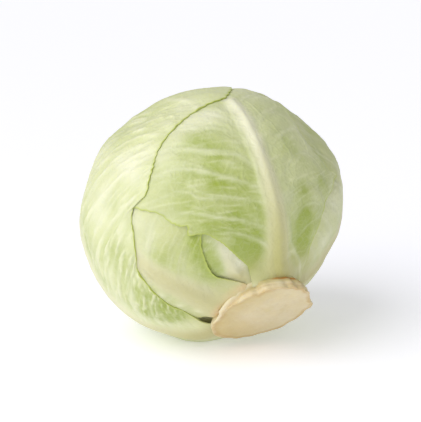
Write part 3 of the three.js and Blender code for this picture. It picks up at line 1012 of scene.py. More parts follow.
def front_veins(veins):
    """The front wrapper's veins, and the strands that run up beside its rib."""
    left = [veins.through(places) for places in FRONT_LEFT_VEINS]
    right = [veins.through(places) for places in FRONT_RIGHT_VEINS]
    veins.family(left, 4)
    veins.forks(left, 0.55)
    veins.family(right, 2, 0.7)
    for places in FRONT_LONG_VEINS:
        veins.add("Long Veins", veins.through(places), (3.0 * MM, 2.4 * MM), (1.0 * MM, 0.2 * MM))
    for places in FRONT_STRANDS:
        veins.add("Long Veins", veins.through(places), (3.0 * MM, 1.8 * MM), (0.5 * MM, 0.3 * MM))


def lower_left_veins(veins):
    """Listed on the side that shows, and by rule on the side that the wrapper covers."""
    right = [veins.through(places) for places in LOWER_RIGHT_VEINS]
    veins.family(right, 2, 0.8)
    veins.family(veins.by_rule(-1, 8, 0.12, 0.8, 0.08), 3)


def ruled_veins(count, first, last, climb, links, strength=1.0):
    """A leaf whose side veins all follow the rule."""

    def draw(veins):
        for side in (-1, 1):
            family = veins.by_rule(side, count, first, last, climb)
            veins.family(family, links, strength)
            veins.forks(family, 0.5)

    return draw


VEIN_PLANS = {
    "left_wrapper_leaf": ruled_veins(20, 0.08, 0.88, 0.07, 4, 1.15),
    "front_wrapper_leaf": front_veins,
    "underside_leaf": ruled_veins(10, 0.1, 0.82, 0.1, 4),
    "lower_left_leaf": lower_left_veins,
    "right_leaf": ruled_veins(12, 0.1, 0.84, 0.09, 4),
}
# Greener and whiter places, for each leaf that has any.
TINTS = {
    "left_wrapper_leaf": (LEFT_PATCHES, LEFT_PALES),
    "front_wrapper_leaf": (FRONT_PATCHES, FRONT_PALES),
    "lower_left_leaf": (LOWER_LEFT_PATCHES, LOWER_LEFT_PALES),
    "right_leaf": (RIGHT_PATCHES, RIGHT_PALES),
    "inner_leaf_2": (SHOWING_INNER_PATCHES, SHOWING_INNER_PALES),
}
for table in LEAVES:
    table["patches"], table["pales"] = TINTS.get(table["node"], ((), ()))

# ---- node trees ----


def add_node(tree, kind, inputs=None, **settings):
    """A node with its settings, and each input set to a value or linked from a socket."""
    node = tree.nodes.new(kind)
    for key, value in settings.items():
        setattr(node, key, value)
    for key, value in (inputs or {}).items():
        if isinstance(value, bpy.types.NodeSocket):
            tree.links.new(value, node.inputs[key])
        else:
            node.inputs[key].default_value = value
    return node


def math_node(tree, operation, first, second=0.0, clamp=False):
    made = add_node(
        tree, "ShaderNodeMath", {0: first, 1: second}, operation=operation, use_clamp=clamp
    )
    return made.outputs[0]


def map_node(tree, value, low, high, to_low=0.0, to_high=1.0, curve="SMOOTHSTEP"):
    made = add_node(
        tree, "ShaderNodeMapRange",
        {"Value": value, "From Min": low, "From Max": high, "To Min": to_low, "To Max": to_high},
        interpolation_type=curve,
    )
    return made.outputs[0]


def new_tree(name, kind, inputs, outputs):
    """A node group with named sockets, and its input and output nodes."""
    tree = bpy.data.node_groups.new(name, kind)
    for label, socket, value in inputs:
        made = tree.interface.new_socket(label, in_out="INPUT", socket_type=socket)
        if value is not None:
            made.default_value = value
    for label, socket in outputs:
        tree.interface.new_socket(label, in_out="OUTPUT", socket_type=socket)
    return tree, tree.nodes.new("NodeGroupInput").outputs, tree.nodes.new("NodeGroupOutput")


FLOAT = "NodeSocketFloat"
VECTOR = "NodeSocketVector"
GEOMETRY = "NodeSocketGeometry"


def read_value(tree, name):
    """A named value of the mesh's points."""
    return add_node(
        tree, "GeometryNodeInputNamedAttribute", {"Name": name}, data_type="FLOAT"
    ).outputs[0]


def store_value(tree, geometry, name, value):
    """The geometry with a named value kept on its points."""
    return add_node(
        tree, "GeometryNodeStoreNamedAttribute", {0: geometry, "Name": name, "Value": value},
        data_type="FLOAT", domain="POINT",
    ).outputs[0]


def net_height(tree, lines):
    """How high the veins of one net stand at each point, and their mask, from its lines."""
    lines = add_node(tree, "GeometryNodeObjectInfo", {"Object": lines}).outputs["Geometry"]
    near = add_node(tree, "GeometryNodeProximity", {0: lines}, target_element="EDGES")
    nearest = add_node(tree, "GeometryNodeSampleNearest", {0: lines}, domain="POINT")
    sampled = {}
    for name in ("half_width", "height"):
        sampled[name] = add_node(
            tree, "GeometryNodeSampleIndex",
            {0: lines, 1: read_value(tree, name), 2: nearest.outputs[0]}, domain="POINT",
        ).outputs[0]
    ragged = add_node(tree, "ShaderNodeTexNoise", {"Scale": 160.0, "Detail": 2.0}).outputs[0]
    uneven = map_node(tree, ragged, 0.3, 0.7, 0.7, 1.3, "LINEAR")
    width = math_node(tree, "MULTIPLY", sampled["half_width"], uneven)
    slow = add_node(tree, "ShaderNodeTexNoise", {"Scale": 34.0, "Detail": 1.0}).outputs[0]
    swell = map_node(tree, slow, 0.35, 0.65, 0.4, 1.15, "LINEAR")
    height = math_node(tree, "MULTIPLY", sampled["height"], swell)
    away = math_node(tree, "DIVIDE", near.outputs["Distance"], width)
    ridge = map_node(tree, away, 0.0, 1.0, 1.0, 0.0, "SMOOTHERSTEP")
    raised = math_node(tree, "MULTIPLY", ridge, height)
    strength = map_node(tree, height, 0.0, 0.0008, 0.0, 1.0, "LINEAR")
    peak = math_node(tree, "POWER", map_node(tree, away, 0.0, 1.1, 1.0, 0.0, "LINEAR"), 1.6)
    found = near.outputs["Is Valid"]
    raised = math_node(tree, "MULTIPLY", raised, found)
    mask = math_node(tree, "MULTIPLY", math_node(tree, "MULTIPLY", peak, strength), found)
    return near.outputs["Distance"], raised, mask


def vein_relief_tree():
    """Raises a leaf's veins from its blade, and pillows and crinkles the blade between them."""
    tree, given, result = new_tree(
        "Vein Relief", "GeometryNodeTree",
        (
            ("Geometry", GEOMETRY, None), *((rank, "NodeSocketObject", None) for rank in RANKS),
            ("Head Centre", VECTOR, None), ("Pillow Height", FLOAT, 0.0003),
            ("Pillow Reach", FLOAT, 0.006), ("Crinkle Height", FLOAT, 0.0004),
            ("Crinkle Scale", FLOAT, 70.0), ("Streak Height", FLOAT, 0.0002),
            ("Streak Lean", FLOAT, 0.1), ("Surface", "NodeSocketMaterial", None),
        ),
        (("Geometry", GEOMETRY),),
    )
    distance, raised, mask = net_height(tree, given[RANKS[0]])
    for rank in RANKS[1:]:
        _, more, also = net_height(tree, given[rank])
        raised = math_node(tree, "MAXIMUM", raised, more)
        mask = math_node(tree, "MAXIMUM", mask, also)
    bulge = map_node(tree, distance, 0.0, given["Pillow Reach"])
    bulge = math_node(tree, "MULTIPLY", bulge, given["Pillow Height"])
    waves = add_node(
        tree, "ShaderNodeTexNoise",
        {"Scale": given["Crinkle Scale"], "Detail": 3.0, "Roughness": 0.5, "Distortion": 0.4},
    ).outputs[0]
    waves = math_node(tree, "SUBTRACT", waves, 0.62)
    waves = math_node(tree, "MULTIPLY", waves, given["Crinkle Height"])
    rise = math_node(tree, "ADD", math_node(tree, "ADD", raised, bulge), waves)
    open_, rib, along, across = (
        read_value(tree, name) for name in ("open", "rib", "along", "across")
    )
    lean = math_node(tree, "MULTIPLY", math_node(tree, "ABSOLUTE", across), given["Streak Lean"])
    streaks = add_node(
        tree, "ShaderNodeCombineXYZ",
        {0: math_node(tree, "SUBTRACT", along, lean), 1: math_node(tree, "MULTIPLY", across, 0.07)},
    )
    streaks = add_node(
        tree, "ShaderNodeTexNoise",
        {"Vector": streaks.outputs[0], "Scale": 62.0, "Detail": 2.5, "Roughness": 0.45},
    ).outputs[0]
    streaks = map_node(tree, streaks, 0.46, 0.72)
    streaks = math_node(tree, "MULTIPLY", streaks, open_)
    streaks = math_node(tree, "MULTIPLY", streaks, math_node(tree, "SUBTRACT", 1.0, rib))
    streaks = math_node(tree, "MULTIPLY", streaks, map_node(tree, along, 0.12, 0.34))
    rise = math_node(
        tree, "ADD", rise, math_node(tree, "MULTIPLY", streaks, given["Streak Height"])
    )
    rise = math_node(tree, "MULTIPLY", rise, open_)
    rise = math_node(tree, "MULTIPLY", rise, map_node(tree, rib, 0.0, 1.0, 1.0, 0.25, "LINEAR"))
    position = tree.nodes.new("GeometryNodeInputPosition").outputs[0]
    away = add_node(
        tree, "ShaderNodeVectorMath", {0: position, 1: given["Head Centre"]}, operation="SUBTRACT"
    )
    away = add_node(tree, "ShaderNodeVectorMath", {0: away.outputs[0]}, operation="NORMALIZE")
    offset = add_node(
        tree, "ShaderNodeVectorMath", {0: away.outputs[0], "Scale": rise}, operation="SCALE"
    )
    moved = add_node(
        tree, "GeometryNodeSetPosition", {0: given["Geometry"], "Offset": offset.outputs[0]}
    )
    kept = store_value(tree, moved.outputs[0], "vein", mask)
    # The streaks are kept for the material, which paints highlight along them.
    kept = store_value(tree, kept, "streak", streaks)
    real = add_node(tree, "GeometryNodeRealizeInstances", {0: kept})
    painted = add_node(
        tree, "GeometryNodeSetMaterial", {0: real.outputs[0], "Material": given["Surface"]}
    )
    tree.links.new(painted.outputs[0], result.inputs[0])
    return tree


def soft_mottle_group():
    """A soft cloudy value that changes over the surface."""
    tree, given, result = new_tree(
        "Soft Mottle", "ShaderNodeTree",
        (("Vector", VECTOR, None), ("Scale", FLOAT, 40.0), ("Contrast", FLOAT, 2.0)),
        (("Value", FLOAT),),
    )
    noise = add_node(
        tree, "ShaderNodeTexNoise",
        {"Vector": given["Vector"], "Scale": given["Scale"], "Detail": 4.0, "Roughness": 0.55},
    ).outputs[0]
    centred = math_node(tree, "SUBTRACT", noise, 0.5)
    stretched = math_node(tree, "MULTIPLY", centred, given["Contrast"])
    tree.links.new(math_node(tree, "ADD", stretched, 0.5, clamp=True), result.inputs[0])
    return tree


def fine_veins_group():
    """The closed net of the smallest veins, as a mask and a height."""
    tree, given, result = new_tree(
        "Fine Veins", "ShaderNodeTree",
        (("Vector", VECTOR, None), ("Scale", FLOAT, 260.0), ("Width", FLOAT, 0.09)),
        (("Mask", FLOAT), ("Height", FLOAT)),
    )
    bend = add_node(
        tree, "ShaderNodeTexNoise", {"Vector": given["Vector"], "Scale": 90.0, "Detail": 2.0}
    )
    bend = add_node(
        tree, "ShaderNodeVectorMath", {0: bend.outputs["Color"], "Scale": 0.006},
        operation="SCALE",
    )
    bent = add_node(
        tree, "ShaderNodeVectorMath", {0: given["Vector"], 1: bend.outputs[0]}, operation="ADD"
    )
    cells = add_node(
        tree, "ShaderNodeTexVoronoi", {"Vector": bent.outputs[0], "Scale": given["Scale"]},
        feature="DISTANCE_TO_EDGE",
    ).outputs[0]
    mask = map_node(tree, cells, 0.0, given["Width"], 1.0, 0.0)
    tree.links.new(mask, result.inputs[0])
    tree.links.new(map_node(tree, cells, 0.0, 0.35, 1.0, 0.0), result.inputs[1])
    return tree


SHARED_TREES = {}


def shared_tree(maker):
    """A node tree that several pieces use, made once."""
    if maker.__name__ not in SHARED_TREES:
        SHARED_TREES[maker.__name__] = maker()
    return SHARED_TREES[maker.__name__]


class Surface:
    """A material in the making: its tree, the shader, and the colour so far."""

    def __init__(self, name, first):
        self.material = bpy.data.materials.new(name)
        self.material.use_nodes = True
        self.tree = self.material.node_tree
        self.shader = self.tree.nodes["Principled BSDF"]
        self.vector = add_node(self.tree, "ShaderNodeTexCoord").outputs["Object"]
        self.colour = add_node(self.tree, "ShaderNodeRGB").outputs[0]
        self.colour.default_value = (*first, 1)

    def value(self, name):
        return add_node(self.tree, "ShaderNodeAttribute", attribute_name=name).outputs["Fac"]

    def group(self, maker, **inputs):
        node = add_node(self.tree, "ShaderNodeGroup", node_tree=shared_tree(maker))
        self.tree.links.new(self.vector, node.inputs["Vector"])
        for name, value in inputs.items():
            node.inputs[name].default_value = value
        return node.outputs

    def math(self, operation, first, second=0.0, clamp=False):
        return math_node(self.tree, operation, first, second, clamp)

    def mix(self, share, colour):
        """Lays a colour over the colour so far."""
        made = add_node(
            self.tree, "ShaderNodeMix", {0: share, 6: self.colour, 7: (*colour, 1)},
            data_type="RGBA",
        )
        self.colour = made.outputs[2]

    def finish(self, height, bump, roughness, subsurface):
        """Links the colour, the bump and the roughness to the shader."""
        bumped = add_node(
            self.tree, "ShaderNodeBump", {"Height": height, "Strength": bump, "Distance": 0.0006}
        )
        self.tree.links.new(bumped.outputs[0], self.shader.inputs["Normal"])
        self.tree.links.new(self.colour, self.shader.inputs["Base Color"])
        self.tree.links.new(roughness, self.shader.inputs["Roughness"])
        self.shader.inputs["Subsurface Weight"].default_value = subsurface
        self.shader.inputs["Subsurface Radius"].default_value = (1.0, 0.9, 0.45)
        self.shader.inputs["Subsurface Scale"].default_value = 2.5 * MM
        return self.material


def leaf_material(
    name, colours, blade, greenness, base, streak_highlight=STREAK_HIGHLIGHT, base_reach=BASE_REACH
):
    """Waxy leaf: blade, greener patches, net of veins, side veins, painted highlight along the
    streaks, rib, base, and a margin whose colour is partly painted light.
    """
    made = Surface(name, blade)
    vein = made.value("vein")
    rib = made.value("rib")
    cloud = made.group(soft_mottle_group, Scale=46.0, Contrast=2.6)["Value"]
    speck = made.group(soft_mottle_group, Scale=190.0, Contrast=2.0)["Value"]
    net = made.group(fine_veins_group)
    patch = made.math("MULTIPLY", made.value("green"), map_node(made.tree, cloud, 0, 1, 0.6, 1.3))
    patch = made.math("ADD", patch, made.math("MULTIPLY", cloud, 0.3))
    patch = made.math("MULTIPLY", patch, map_node(made.tree, vein, 0, 1, 1.0, 0.35))
    # Painted highlight: along the streaks the blade is made whiter and less green, as if their
    # relief caught the light.
    streaks = made.value("streak")
    patch = made.math("MULTIPLY", patch, map_node(made.tree, streaks, 0, 1, 1.0, 0.6))
    made.mix(made.math("MULTIPLY", patch, greenness, clamp=True), colours.green)
    made.mix(made.math("MULTIPLY", net["Mask"], 0.07), colours.vein)
    made.mix(made.math("MULTIPLY", vein, 0.42), colours.vein)
    made.mix(made.math("MULTIPLY", streaks, streak_highlight), colours.pale)
    made.mix(made.math("MULTIPLY", rib, 0.85), colours.rib)
    low = map_node(made.tree, made.value("along"), 0.1, base_reach, 1.0, 0.0)
    made.mix(made.math("MULTIPLY", made.math("MULTIPLY", rib, low), 0.9), base)
    stemward = made.value("stemward")
    made.mix(made.math("MULTIPLY", stemward, 0.6), base)
    # Margin colour: partly the edge's own green, partly a painted shadow line and a painted glow of
    # light through the thin edge.
    edge = made.math("MULTIPLY", made.value("edge"), made.math("SUBTRACT", 0.9, stemward))
    made.mix(made.math("MAXIMUM", edge, 0.0), colours.margin)
    # Whiter places: mostly the blade's own paler colour, some of them painted highlight and painted
    # light.
    made.mix(made.math("MULTIPLY", made.value("pale"), 0.8), colours.pale)
    made.mix(made.math("MULTIPLY", made.value("foot_mark"), cloud), colours.foot_mark)
    waxy = made.group(soft_mottle_group, Scale=24.0, Contrast=3.0)["Value"]
    made.mix(made.math("MULTIPLY", waxy, 0.1), colours.vein)
    height = made.math("MULTIPLY", net["Height"], 0.5)
    height = made.math("ADD", height, made.math("MULTIPLY", speck, 0.6))
    roughness = map_node(made.tree, cloud, 0, 1, 0.38, 0.54, "LINEAR")
    return made.finish(height, 0.35, roughness, 0.2)


def stem_material(colours):
    """Cut foot: pale moist cut, fibrous skin, browned rim, painted shade in the creases, and a ridge
    whose pale colour is partly painted highlight.
    """
    made = Surface("cut_stem", colours.skin)
    cut = made.value("cut")
    cloud = made.group(soft_mottle_group, Scale=70.0, Contrast=2.6)["Value"]
    fine = made.group(soft_mottle_group, Scale=420.0, Contrast=2.0)["Value"]
    broad = made.group(soft_mottle_group, Scale=30.0, Contrast=3.0)["Value"]
    made.mix(made.math("MULTIPLY", made.math("SUBTRACT", 1.0, cut), cloud), colours.browning_and_crease_shade)
    made.mix(0.55, colours.skin)
    made.mix(cut, colours.cut)
    made.mix(made.math("MULTIPLY", cut, broad), colours.pith)
    made.mix(made.math("MULTIPLY", made.math("MULTIPLY", cut, cloud), 0.22), colours.yellowed)
    made.mix(made.math("MULTIPLY", made.value("yellowed"), 0.6), colours.yellowed)
    made.mix(made.math("MULTIPLY", made.math("MULTIPLY", cut, fine), 0.18), colours.browning_and_crease_shade)
    browned = made.math("MULTIPLY", made.value("rim"), map_node(made.tree, cloud, 0, 1, 0.35, 1.0))
    made.mix(made.math("MULTIPLY", browned, 0.75, clamp=True), colours.browning_and_crease_shade)
    # Painted shade: the brown laid into the creases and into the groove beside the ridge.
    made.mix(made.math("MULTIPLY", made.value("crease"), 0.8), colours.browning_and_crease_shade)
    made.mix(made.math("MULTIPLY", made.value("join"), 0.8), colours.join)
    # The ridge in the pale skin colour: partly its own colour, partly a painted highlight along its
    # crest.
    made.mix(made.value("ridge"), colours.skin)
    made.mix(made.value("scar"), colours.scar)
    height = made.math("ADD", made.math("MULTIPLY", fine, 0.5), made.math("MULTIPLY", cloud, 0.8))
    roughness = map_node(made.tree, cloud, 0, 1, 0.45, 0.62, "LINEAR")
    return made.finish(height, 0.45, roughness, 0.25)


# ---- pieces ----


def raise_veins(sheet, name, plan, head, layer, material):
    """Applies the vein relief to a leaf's sheet and returns the finished piece."""
    veins = Veins(head, layer)
    plan(veins)
    nets = {rank: veins.net(rank) for rank in RANKS}
    tree = shared_tree(vein_relief_tree)
    modifier = sheet.modifiers.new("Vein Relief", "NODES")
    modifier.node_group = tree
    chosen = {
        **{rank: net for rank, net in nets.items() if net},
        "Head Centre": tuple(CENTRE),
        "Pillow Height": head.settings.pillow,
        "Pillow Reach": 6 * MM,
        "Crinkle Height": head.settings.crinkle,
        "Crinkle Scale": 70.0,
        "Streak Height": LEAVES[layer].get("streak", STREAK),
        "Streak Lean": 0.1,
        "Surface": material,
    }
    for socket in tree.interface.items_tree:
        if socket.in_out == "INPUT" and socket.name in chosen:
            modifier[socket.identifier] = chosen[socket.name]
    depsgraph = bpy.context.evaluated_depsgraph_get()
    mesh = bpy.data.meshes.new_from_object(sheet.evaluated_get(depsgraph))
    if len(mesh.vertices) != len(sheet.data.vertices):
        raise RuntimeError(f"the vein relief changed the number of points of {name}")
    sheet.modifiers.remove(modifier)
    mesh.name = name
    mesh.shade_smooth()
    mesh.set_sharp_from_angle(angle=math.radians(50))
    piece = bpy.data.objects.new(name, mesh)
    bpy.context.scene.collection.objects.link(piece)
    for net in filter(None, nets.values()):
        bpy.data.objects.remove(net)
    bpy.data.objects.remove(sheet)
    return piece


def make_leaf(context, node, name, blade, greenness, base=None):
    """Makes one leaf of the head and lets it stand for its CAD node."""
    head = Head(context.scene.cabbage_head)
    colours = context.scene.cabbage_leaf_colours
    layer = [table["node"] for table in LEAVES].index(node)
    table = LEAVES[layer]
    material = leaf_material(
        name, colours, blade, greenness, base or colours.base,
        table.get("streak_highlight", STREAK_HIGHLIGHT), table.get("base_reach", BASE_REACH),
    )
    sheet = leaf_object(head, layer)
    plan = VEIN_PLANS.get(node, ruled_veins(9, 0.12, 0.82, 0.09, 3))
    piece = raise_veins(sheet, name, plan, head, layer, material)
    finish_piece(piece, [node], material)


def core_radius(stem, depth):
    """The core's radius by its distance from the head's middle, tapering into the heart."""
    share = np.clip((depth - CORE_TIP) / (stem.neck_depth - CORE_TIP), 0, 1)
    return 0.88 * stem.neck_radius * share**0.45


def on_stem(depth, turn, radius):
    return CENTRE + STEM_AXIS * np.asarray(depth)[..., None] + (
        outward(turn) * np.asarray(radius)[..., None]
    )


def lathe(name, rings, first, last, values):
    """A closed body from rings of points, with a point at each end."""
    columns = len(rings[0])
    points = np.vstack([first[None], *rings, last[None]])
    faces = []
    loops = [
        [1 + row * columns + i % columns for i in range(columns + 1)] for row in range(len(rings))
    ]
    faces += reversed_faces(fan_to(loops[0], 0))
    for lower, upper in zip(loops, loops[1:]):
        faces += quads_between(lower, upper)
    faces += fan_to(loops[-1], len(points) - 1)
    return mesh_object(name, points, faces, values)


def make_stem(context):
    """The stem: core, neck, flared foot with its ridge, and the knife's cut across it."""
    stem = context.scene.cabbage_stem
    columns = 288
    turn = np.arange(columns) * 360 / columns
    ones = np.ones(columns)
    lower = towards(turn, SAG_TURN)
    round_ = outward(turn)
    rim_wave = 0.35 * MM * ripple(round_, 0.5, 71) + 0.25 * MM * ripple(round_, 0.22, 72)
    foot = stem.foot_radius + stem.foot_sag * lower**1.4 + 0.4 * MM * np.cos(np.radians(3 * turn))
    foot += rim_wave + 2.4 * MM * window(turn, 0, 8, 8)
    ridge = window(turn, 124, 200, 16)
    foot -= 2.2 * MM * ridge
    lean = (outward(turn) @ CUT_NORMAL) / (STEM_AXIS @ CUT_NORMAL)

    rings = []
    marks = {name: [0] for name in ("cut", "rim", "crease", "ridge", "join", "yellowed", "scar")}

    def add_ring(depth, radius, **masks):
        rings.append(on_stem(depth, turn, radius))
        for name, numbers in marks.items():
            numbers.extend((masks.get(name, 0) * ones).tolist())

    for share in (0.02, 0.08, 0.2, 0.35, 0.5, 0.65, 0.8, 0.9, 1.0):
        depth = CORE_TIP + (stem.neck_depth - CORE_TIP) * share
        add_ring(depth * ones, core_radius(stem, depth) * ones)
    climb = 0.5 + 0.42 * smooth_step(turn, 120, 200)
    creases = ripple(round_ * 0.7, 0.16, 73)
    for share in np.linspace(0.02, 1, 46):
        radius = lerp((stem.neck_radius * ones, foot), smooth_step(share, 0.2, 0.86))
        bump = np.exp(-(((share - climb) / 0.09) ** 2)) * ridge
        groove = np.exp(-(((share - climb - 0.17) / 0.07) ** 2)) * ridge
        depth = lerp((stem.neck_depth * ones, stem.foot_depth - foot * lean), share)
        bands = ripple(np.column_stack([round_[:, :2] * 0.35, share * 2.4 * ones]), 0.3, 74)
        rough = (0.14 * creases + 0.14 * bands) * smooth_step(share, 0.5, 0.75)
        radius = radius + (1.5 * bump - 0.6 * groove + rough) * MM
        # Painted shade: darker colour where the surface sinks into creases and into the groove
        # beside the ridge.
        crease = np.clip(-bands - 0.7, 0, 1) * 0.4 + groove * 0.5
        add_ring(
            depth, radius, rim=0.6 * smooth_step(share, 0.9, 1.0), crease=np.clip(crease, 0, 1),
            ridge=np.clip(bump, 0, 1), join=1 - smooth_step(share, 0.5, 0.85),
            scar=np.exp(-(((share - 0.6) / 0.045) ** 2)) * window(turn, 40, 92, 12),
        )
    for share in (0.99, 0.975, 0.955):
        radius = foot * share
        depth = stem.foot_depth - radius * lean + (1 - share) * 1.8 * MM
        add_ring(depth, radius, cut=0.6, rim=1.0)
    yellowed = window(turn, 150, 250, 70)
    bruised = 0.1 + 0.12 * window(turn, 110, 215, 40)
    for share in np.linspace(0.94, 0.02, 52):
        radius = foot * share
        points = round_ * share
        relief = 0.4 * ripple(points, 0.9, 75) + 0.16 * ripple(points, 0.3, 76)
        dish = 0.9 * (1 - share**2)
        depth = stem.foot_depth - radius * lean + (relief * (1 - share**4) - dish) * MM
        add_ring(
            depth, radius, cut=1.0, rim=0.8 * (1 - smooth_step(1 - share, 0.04, bruised)),
            yellowed=yellowed * smooth_step(share, 0.1, 0.8),
        )
    for numbers in marks.values():
        numbers.append(0)
    marks["cut"][-1] = 1
    first = on_stem(CORE_TIP, 0.0, 0.0)
    last = on_stem(stem.foot_depth - 0.9 * MM, 0.0, 0.0)
    piece = lathe("cut_stem", rings, first, last, marks)
    material = stem_material(context.scene.cabbage_stem_colours)
    finish_piece(piece, ["stem"], material)


def make_heart(context):
    """The tight heart under the last leaf, with a pocket that the core grows into."""
    head = Head(context.scene.cabbage_head)
    stem = context.scene.cabbage_stem
    columns = 180
    rows = 96
    mouth = 27  # polar angle at which the heart turns in to its pocket
    mouth_depth = 44 * MM
    gap = 0.8 * MM
    turn = np.arange(columns) * 360 / columns
    ones = np.ones(columns)

    def heart_ring(polar):
        dirs = direction(np.column_stack([np.full(columns, polar), turn]))
        depth = head.lie(len(LEAVES), dirs)[0]
        return on_head(dirs, head.form(dirs) - depth - gap)

    rings = [heart_ring(180 - (180 - mouth) * (row + 1) / rows) for row in range(rows)]
    for share in (1, 0.8, 0.6, 0.4, 0.2, 0.08, 0.02):
        depth = CORE_TIP + (mouth_depth - CORE_TIP) * share
        radius = core_radius(stem, depth) + CORE_CLEARANCE
        rings.append(on_stem((depth - CORE_CLEARANCE) * ones, turn, radius * ones))
    crown = direction([[180, 0]])
    depth = head.lie(len(LEAVES), crown)[0]
    first = on_head(crown, head.form(crown) - depth - gap)[0]
    last = on_stem(CORE_TIP - 2 * CORE_CLEARANCE, 0.0, 0.0)
    piece = lathe("tight_heart", rings, first, last, None)
    colours = context.scene.cabbage_leaf_colours
    material = leaf_material("heart_leaf", colours, colours.inner_blade, 0.3, colours.base)
    finish_piece(piece, ["heart"], material)


# ---- operators ----


class CABBAGE_OT_stage(bpy.types.Operator):
    """Makes the pale floor, the soft studio light and the camera"""

    bl_idname = "cabbage.stage"
    bl_label = "Stage"

    def execute(self, context):
        settings = context.scene.cabbage_stage
        half = settings.floor_size / 2
        corners = np.array([(-half, -half, 0), (half, -half, 0), (half, half, 0), (-half, half, 0)])
        floor = mesh_object("floor", corners, [(0, 1, 2, 3)])
        material = bpy.data.materials.new("pale_floor")
        material.use_nodes = True
        shader = material.node_tree.nodes["Principled BSDF"]
        shader.inputs["Base Color"].default_value = (0.9, 0.9, 0.965, 1)
        shader.inputs["Roughness"].default_value = 0.9
        shader.inputs["Specular IOR Level"].default_value = 0.1
        shader.inputs["Emission Color"].default_value = (1, 1, 1, 1)
        shader.inputs["Emission Strength"].default_value = settings.floor_glow
        floor.data.materials.append(material)

        world = bpy.data.worlds.new("studio")
        world.use_nodes = True
        tree = world.node_tree
        background = tree.nodes["Background"]
        background.inputs["Color"].default_value = (1, 1, 1, 1)
        seen = add_node(tree, "ShaderNodeLightPath").outputs["Is Camera Ray"]
        strength = map_node(tree, seen, 0, 1, settings.fill, 1.0, "LINEAR")
        tree.links.new(strength, background.inputs["Strength"])
        context.scene.world = world

        sun = bpy.data.lights.new("upper_light", "SUN")
        sun.energy = settings.sun
        sun.angle = settings.sun_softness
        softbox = bpy.data.lights.new("front_softbox", "AREA")
        softbox.energy = settings.softbox
        softbox.size = 0.7
        for light, place in ((sun, (-0.54, -0.42, 0.8)), (softbox, (-0.6, -0.9, 0.5))):
            made = bpy.data.objects.new(light.name, light)
            aim = Vector(CENTRE) - Vector(place)
            made.location = place
            made.rotation_euler = aim.to_track_quat("-Z", "Y").to_euler()
            context.scene.collection.objects.link(made)

        lens = bpy.data.cameras.new("camera")
        lens.lens = 100
        lens.sensor_width = 36
        lens.clip_end = 100
        camera = bpy.data.objects.new("camera", lens)
        camera.location = settings.camera
        camera.rotation_euler = (math.pi / 2 - settings.camera_tilt, 0, 0)
        context.scene.collection.objects.link(camera)
        context.scene.camera = camera
        context.scene.view_settings.view_transform = "Standard"
        return {"FINISHED"}


class CABBAGE_OT_left_wrapper_leaf(bpy.types.Operator):
    """Makes the outermost leaf, which wraps the left side and lies on the ground"""

    bl_idname = "cabbage.left_wrapper_leaf"
    bl_label = "Left Wrapper Leaf"

    def execute(self, context):
        colours = context.scene.cabbage_leaf_colours
        make_leaf(context, "left_wrapper_leaf", "leaf_left_wrapper", colours.outer_blade, 0.75)
        return {"FINISHED"}


class CABBAGE_OT_front_wrapper_leaf(bpy.types.Operator):
    """Makes the front wrapper leaf with its long rib"""

    bl_idname = "cabbage.front_wrapper_leaf"
    bl_label = "Front Wrapper Leaf"

    def execute(self, context):
        colours = context.scene.cabbage_leaf_colours
        make_leaf(
            context, "front_wrapper_leaf", "leaf_front_wrapper", colours.front_blade, 0.85,
            colours.front_base,
        )
        return {"FINISHED"}


class CABBAGE_OT_under_leaves(bpy.types.Operator):
    """Makes the three leaves that show past the wrappers' margins"""

    bl_idname = "cabbage.under_leaves"
    bl_label = "Under Leaves"

    def execute(self, context):
        blade = context.scene.cabbage_leaf_colours.under_blade
        make_leaf(context, "lower_left_leaf", "leaf_lower_left", blade, 0.85)
        make_leaf(context, "right_leaf", "leaf_right", blade, 0.6)
        make_leaf(context, "underside_leaf", "leaf_underside", blade, 0.6)
        return {"FINISHED"}


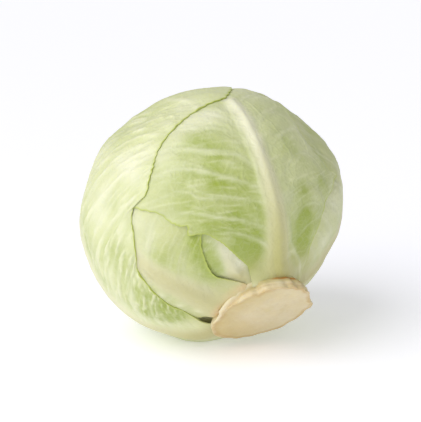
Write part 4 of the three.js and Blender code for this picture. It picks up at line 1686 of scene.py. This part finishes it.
class CABBAGE_OT_inner_leaves(bpy.types.Operator):
    """Makes the leaves between the wrappers and the heart"""

    bl_idname = "cabbage.inner_leaves"
    bl_label = "Inner Leaves"

    def execute(self, context):
        blade = context.scene.cabbage_leaf_colours.inner_blade
        for number in range(1, INNER_LEAF_COUNT + 1):
            make_leaf(context, f"inner_leaf_{number}", f"leaf_inner_{number}", blade, 0.5)
        return {"FINISHED"}


class CABBAGE_OT_heart(bpy.types.Operator):
    """Makes the tight heart of the head"""

    bl_idname = "cabbage.heart"
    bl_label = "Heart"

    def execute(self, context):
        make_heart(context)
        return {"FINISHED"}


class CABBAGE_OT_stem(bpy.types.Operator):
    """Makes the stem with its cut foot"""

    bl_idname = "cabbage.stem"
    bl_label = "Cut Stem"

    def execute(self, context):
        make_stem(context)
        return {"FINISHED"}


OPERATORS = (
    CABBAGE_OT_stage,
    CABBAGE_OT_left_wrapper_leaf,
    CABBAGE_OT_front_wrapper_leaf,
    CABBAGE_OT_under_leaves,
    CABBAGE_OT_inner_leaves,
    CABBAGE_OT_heart,
    CABBAGE_OT_stem,
)


class CABBAGE_PT_panel(bpy.types.Panel):
    """Lists the settings and the steps that build the head"""

    bl_idname = "CABBAGE_PT_panel"
    bl_label = "Cabbage Head"
    bl_space_type = "VIEW_3D"
    bl_region_type = "UI"
    bl_category = "Cabbage"

    def draw(self, context):
        for name, group in SETTINGS.items():
            box = self.layout.box()
            box.label(text=group.__doc__)
            for setting in group.__annotations__:
                box.prop(getattr(context.scene, name), setting)
        for operator in OPERATORS:
            self.layout.operator(operator.bl_idname)


CLASSES = (*SETTINGS.values(), *OPERATORS, CABBAGE_PT_panel)


def register():
    for cls in CLASSES:
        bpy.utils.register_class(cls)
    for name, group in SETTINGS.items():
        setattr(bpy.types.Scene, name, bpy.props.PointerProperty(type=group))


def unregister():
    for name in SETTINGS:
        delattr(bpy.types.Scene, name)
    for cls in reversed(CLASSES):
        bpy.utils.unregister_class(cls)


def main():
    register()
    for operator in OPERATORS:
        group, name = operator.bl_idname.split(".")
        getattr(getattr(bpy.ops, group), name)()


if __name__ == "__main__":
    main()
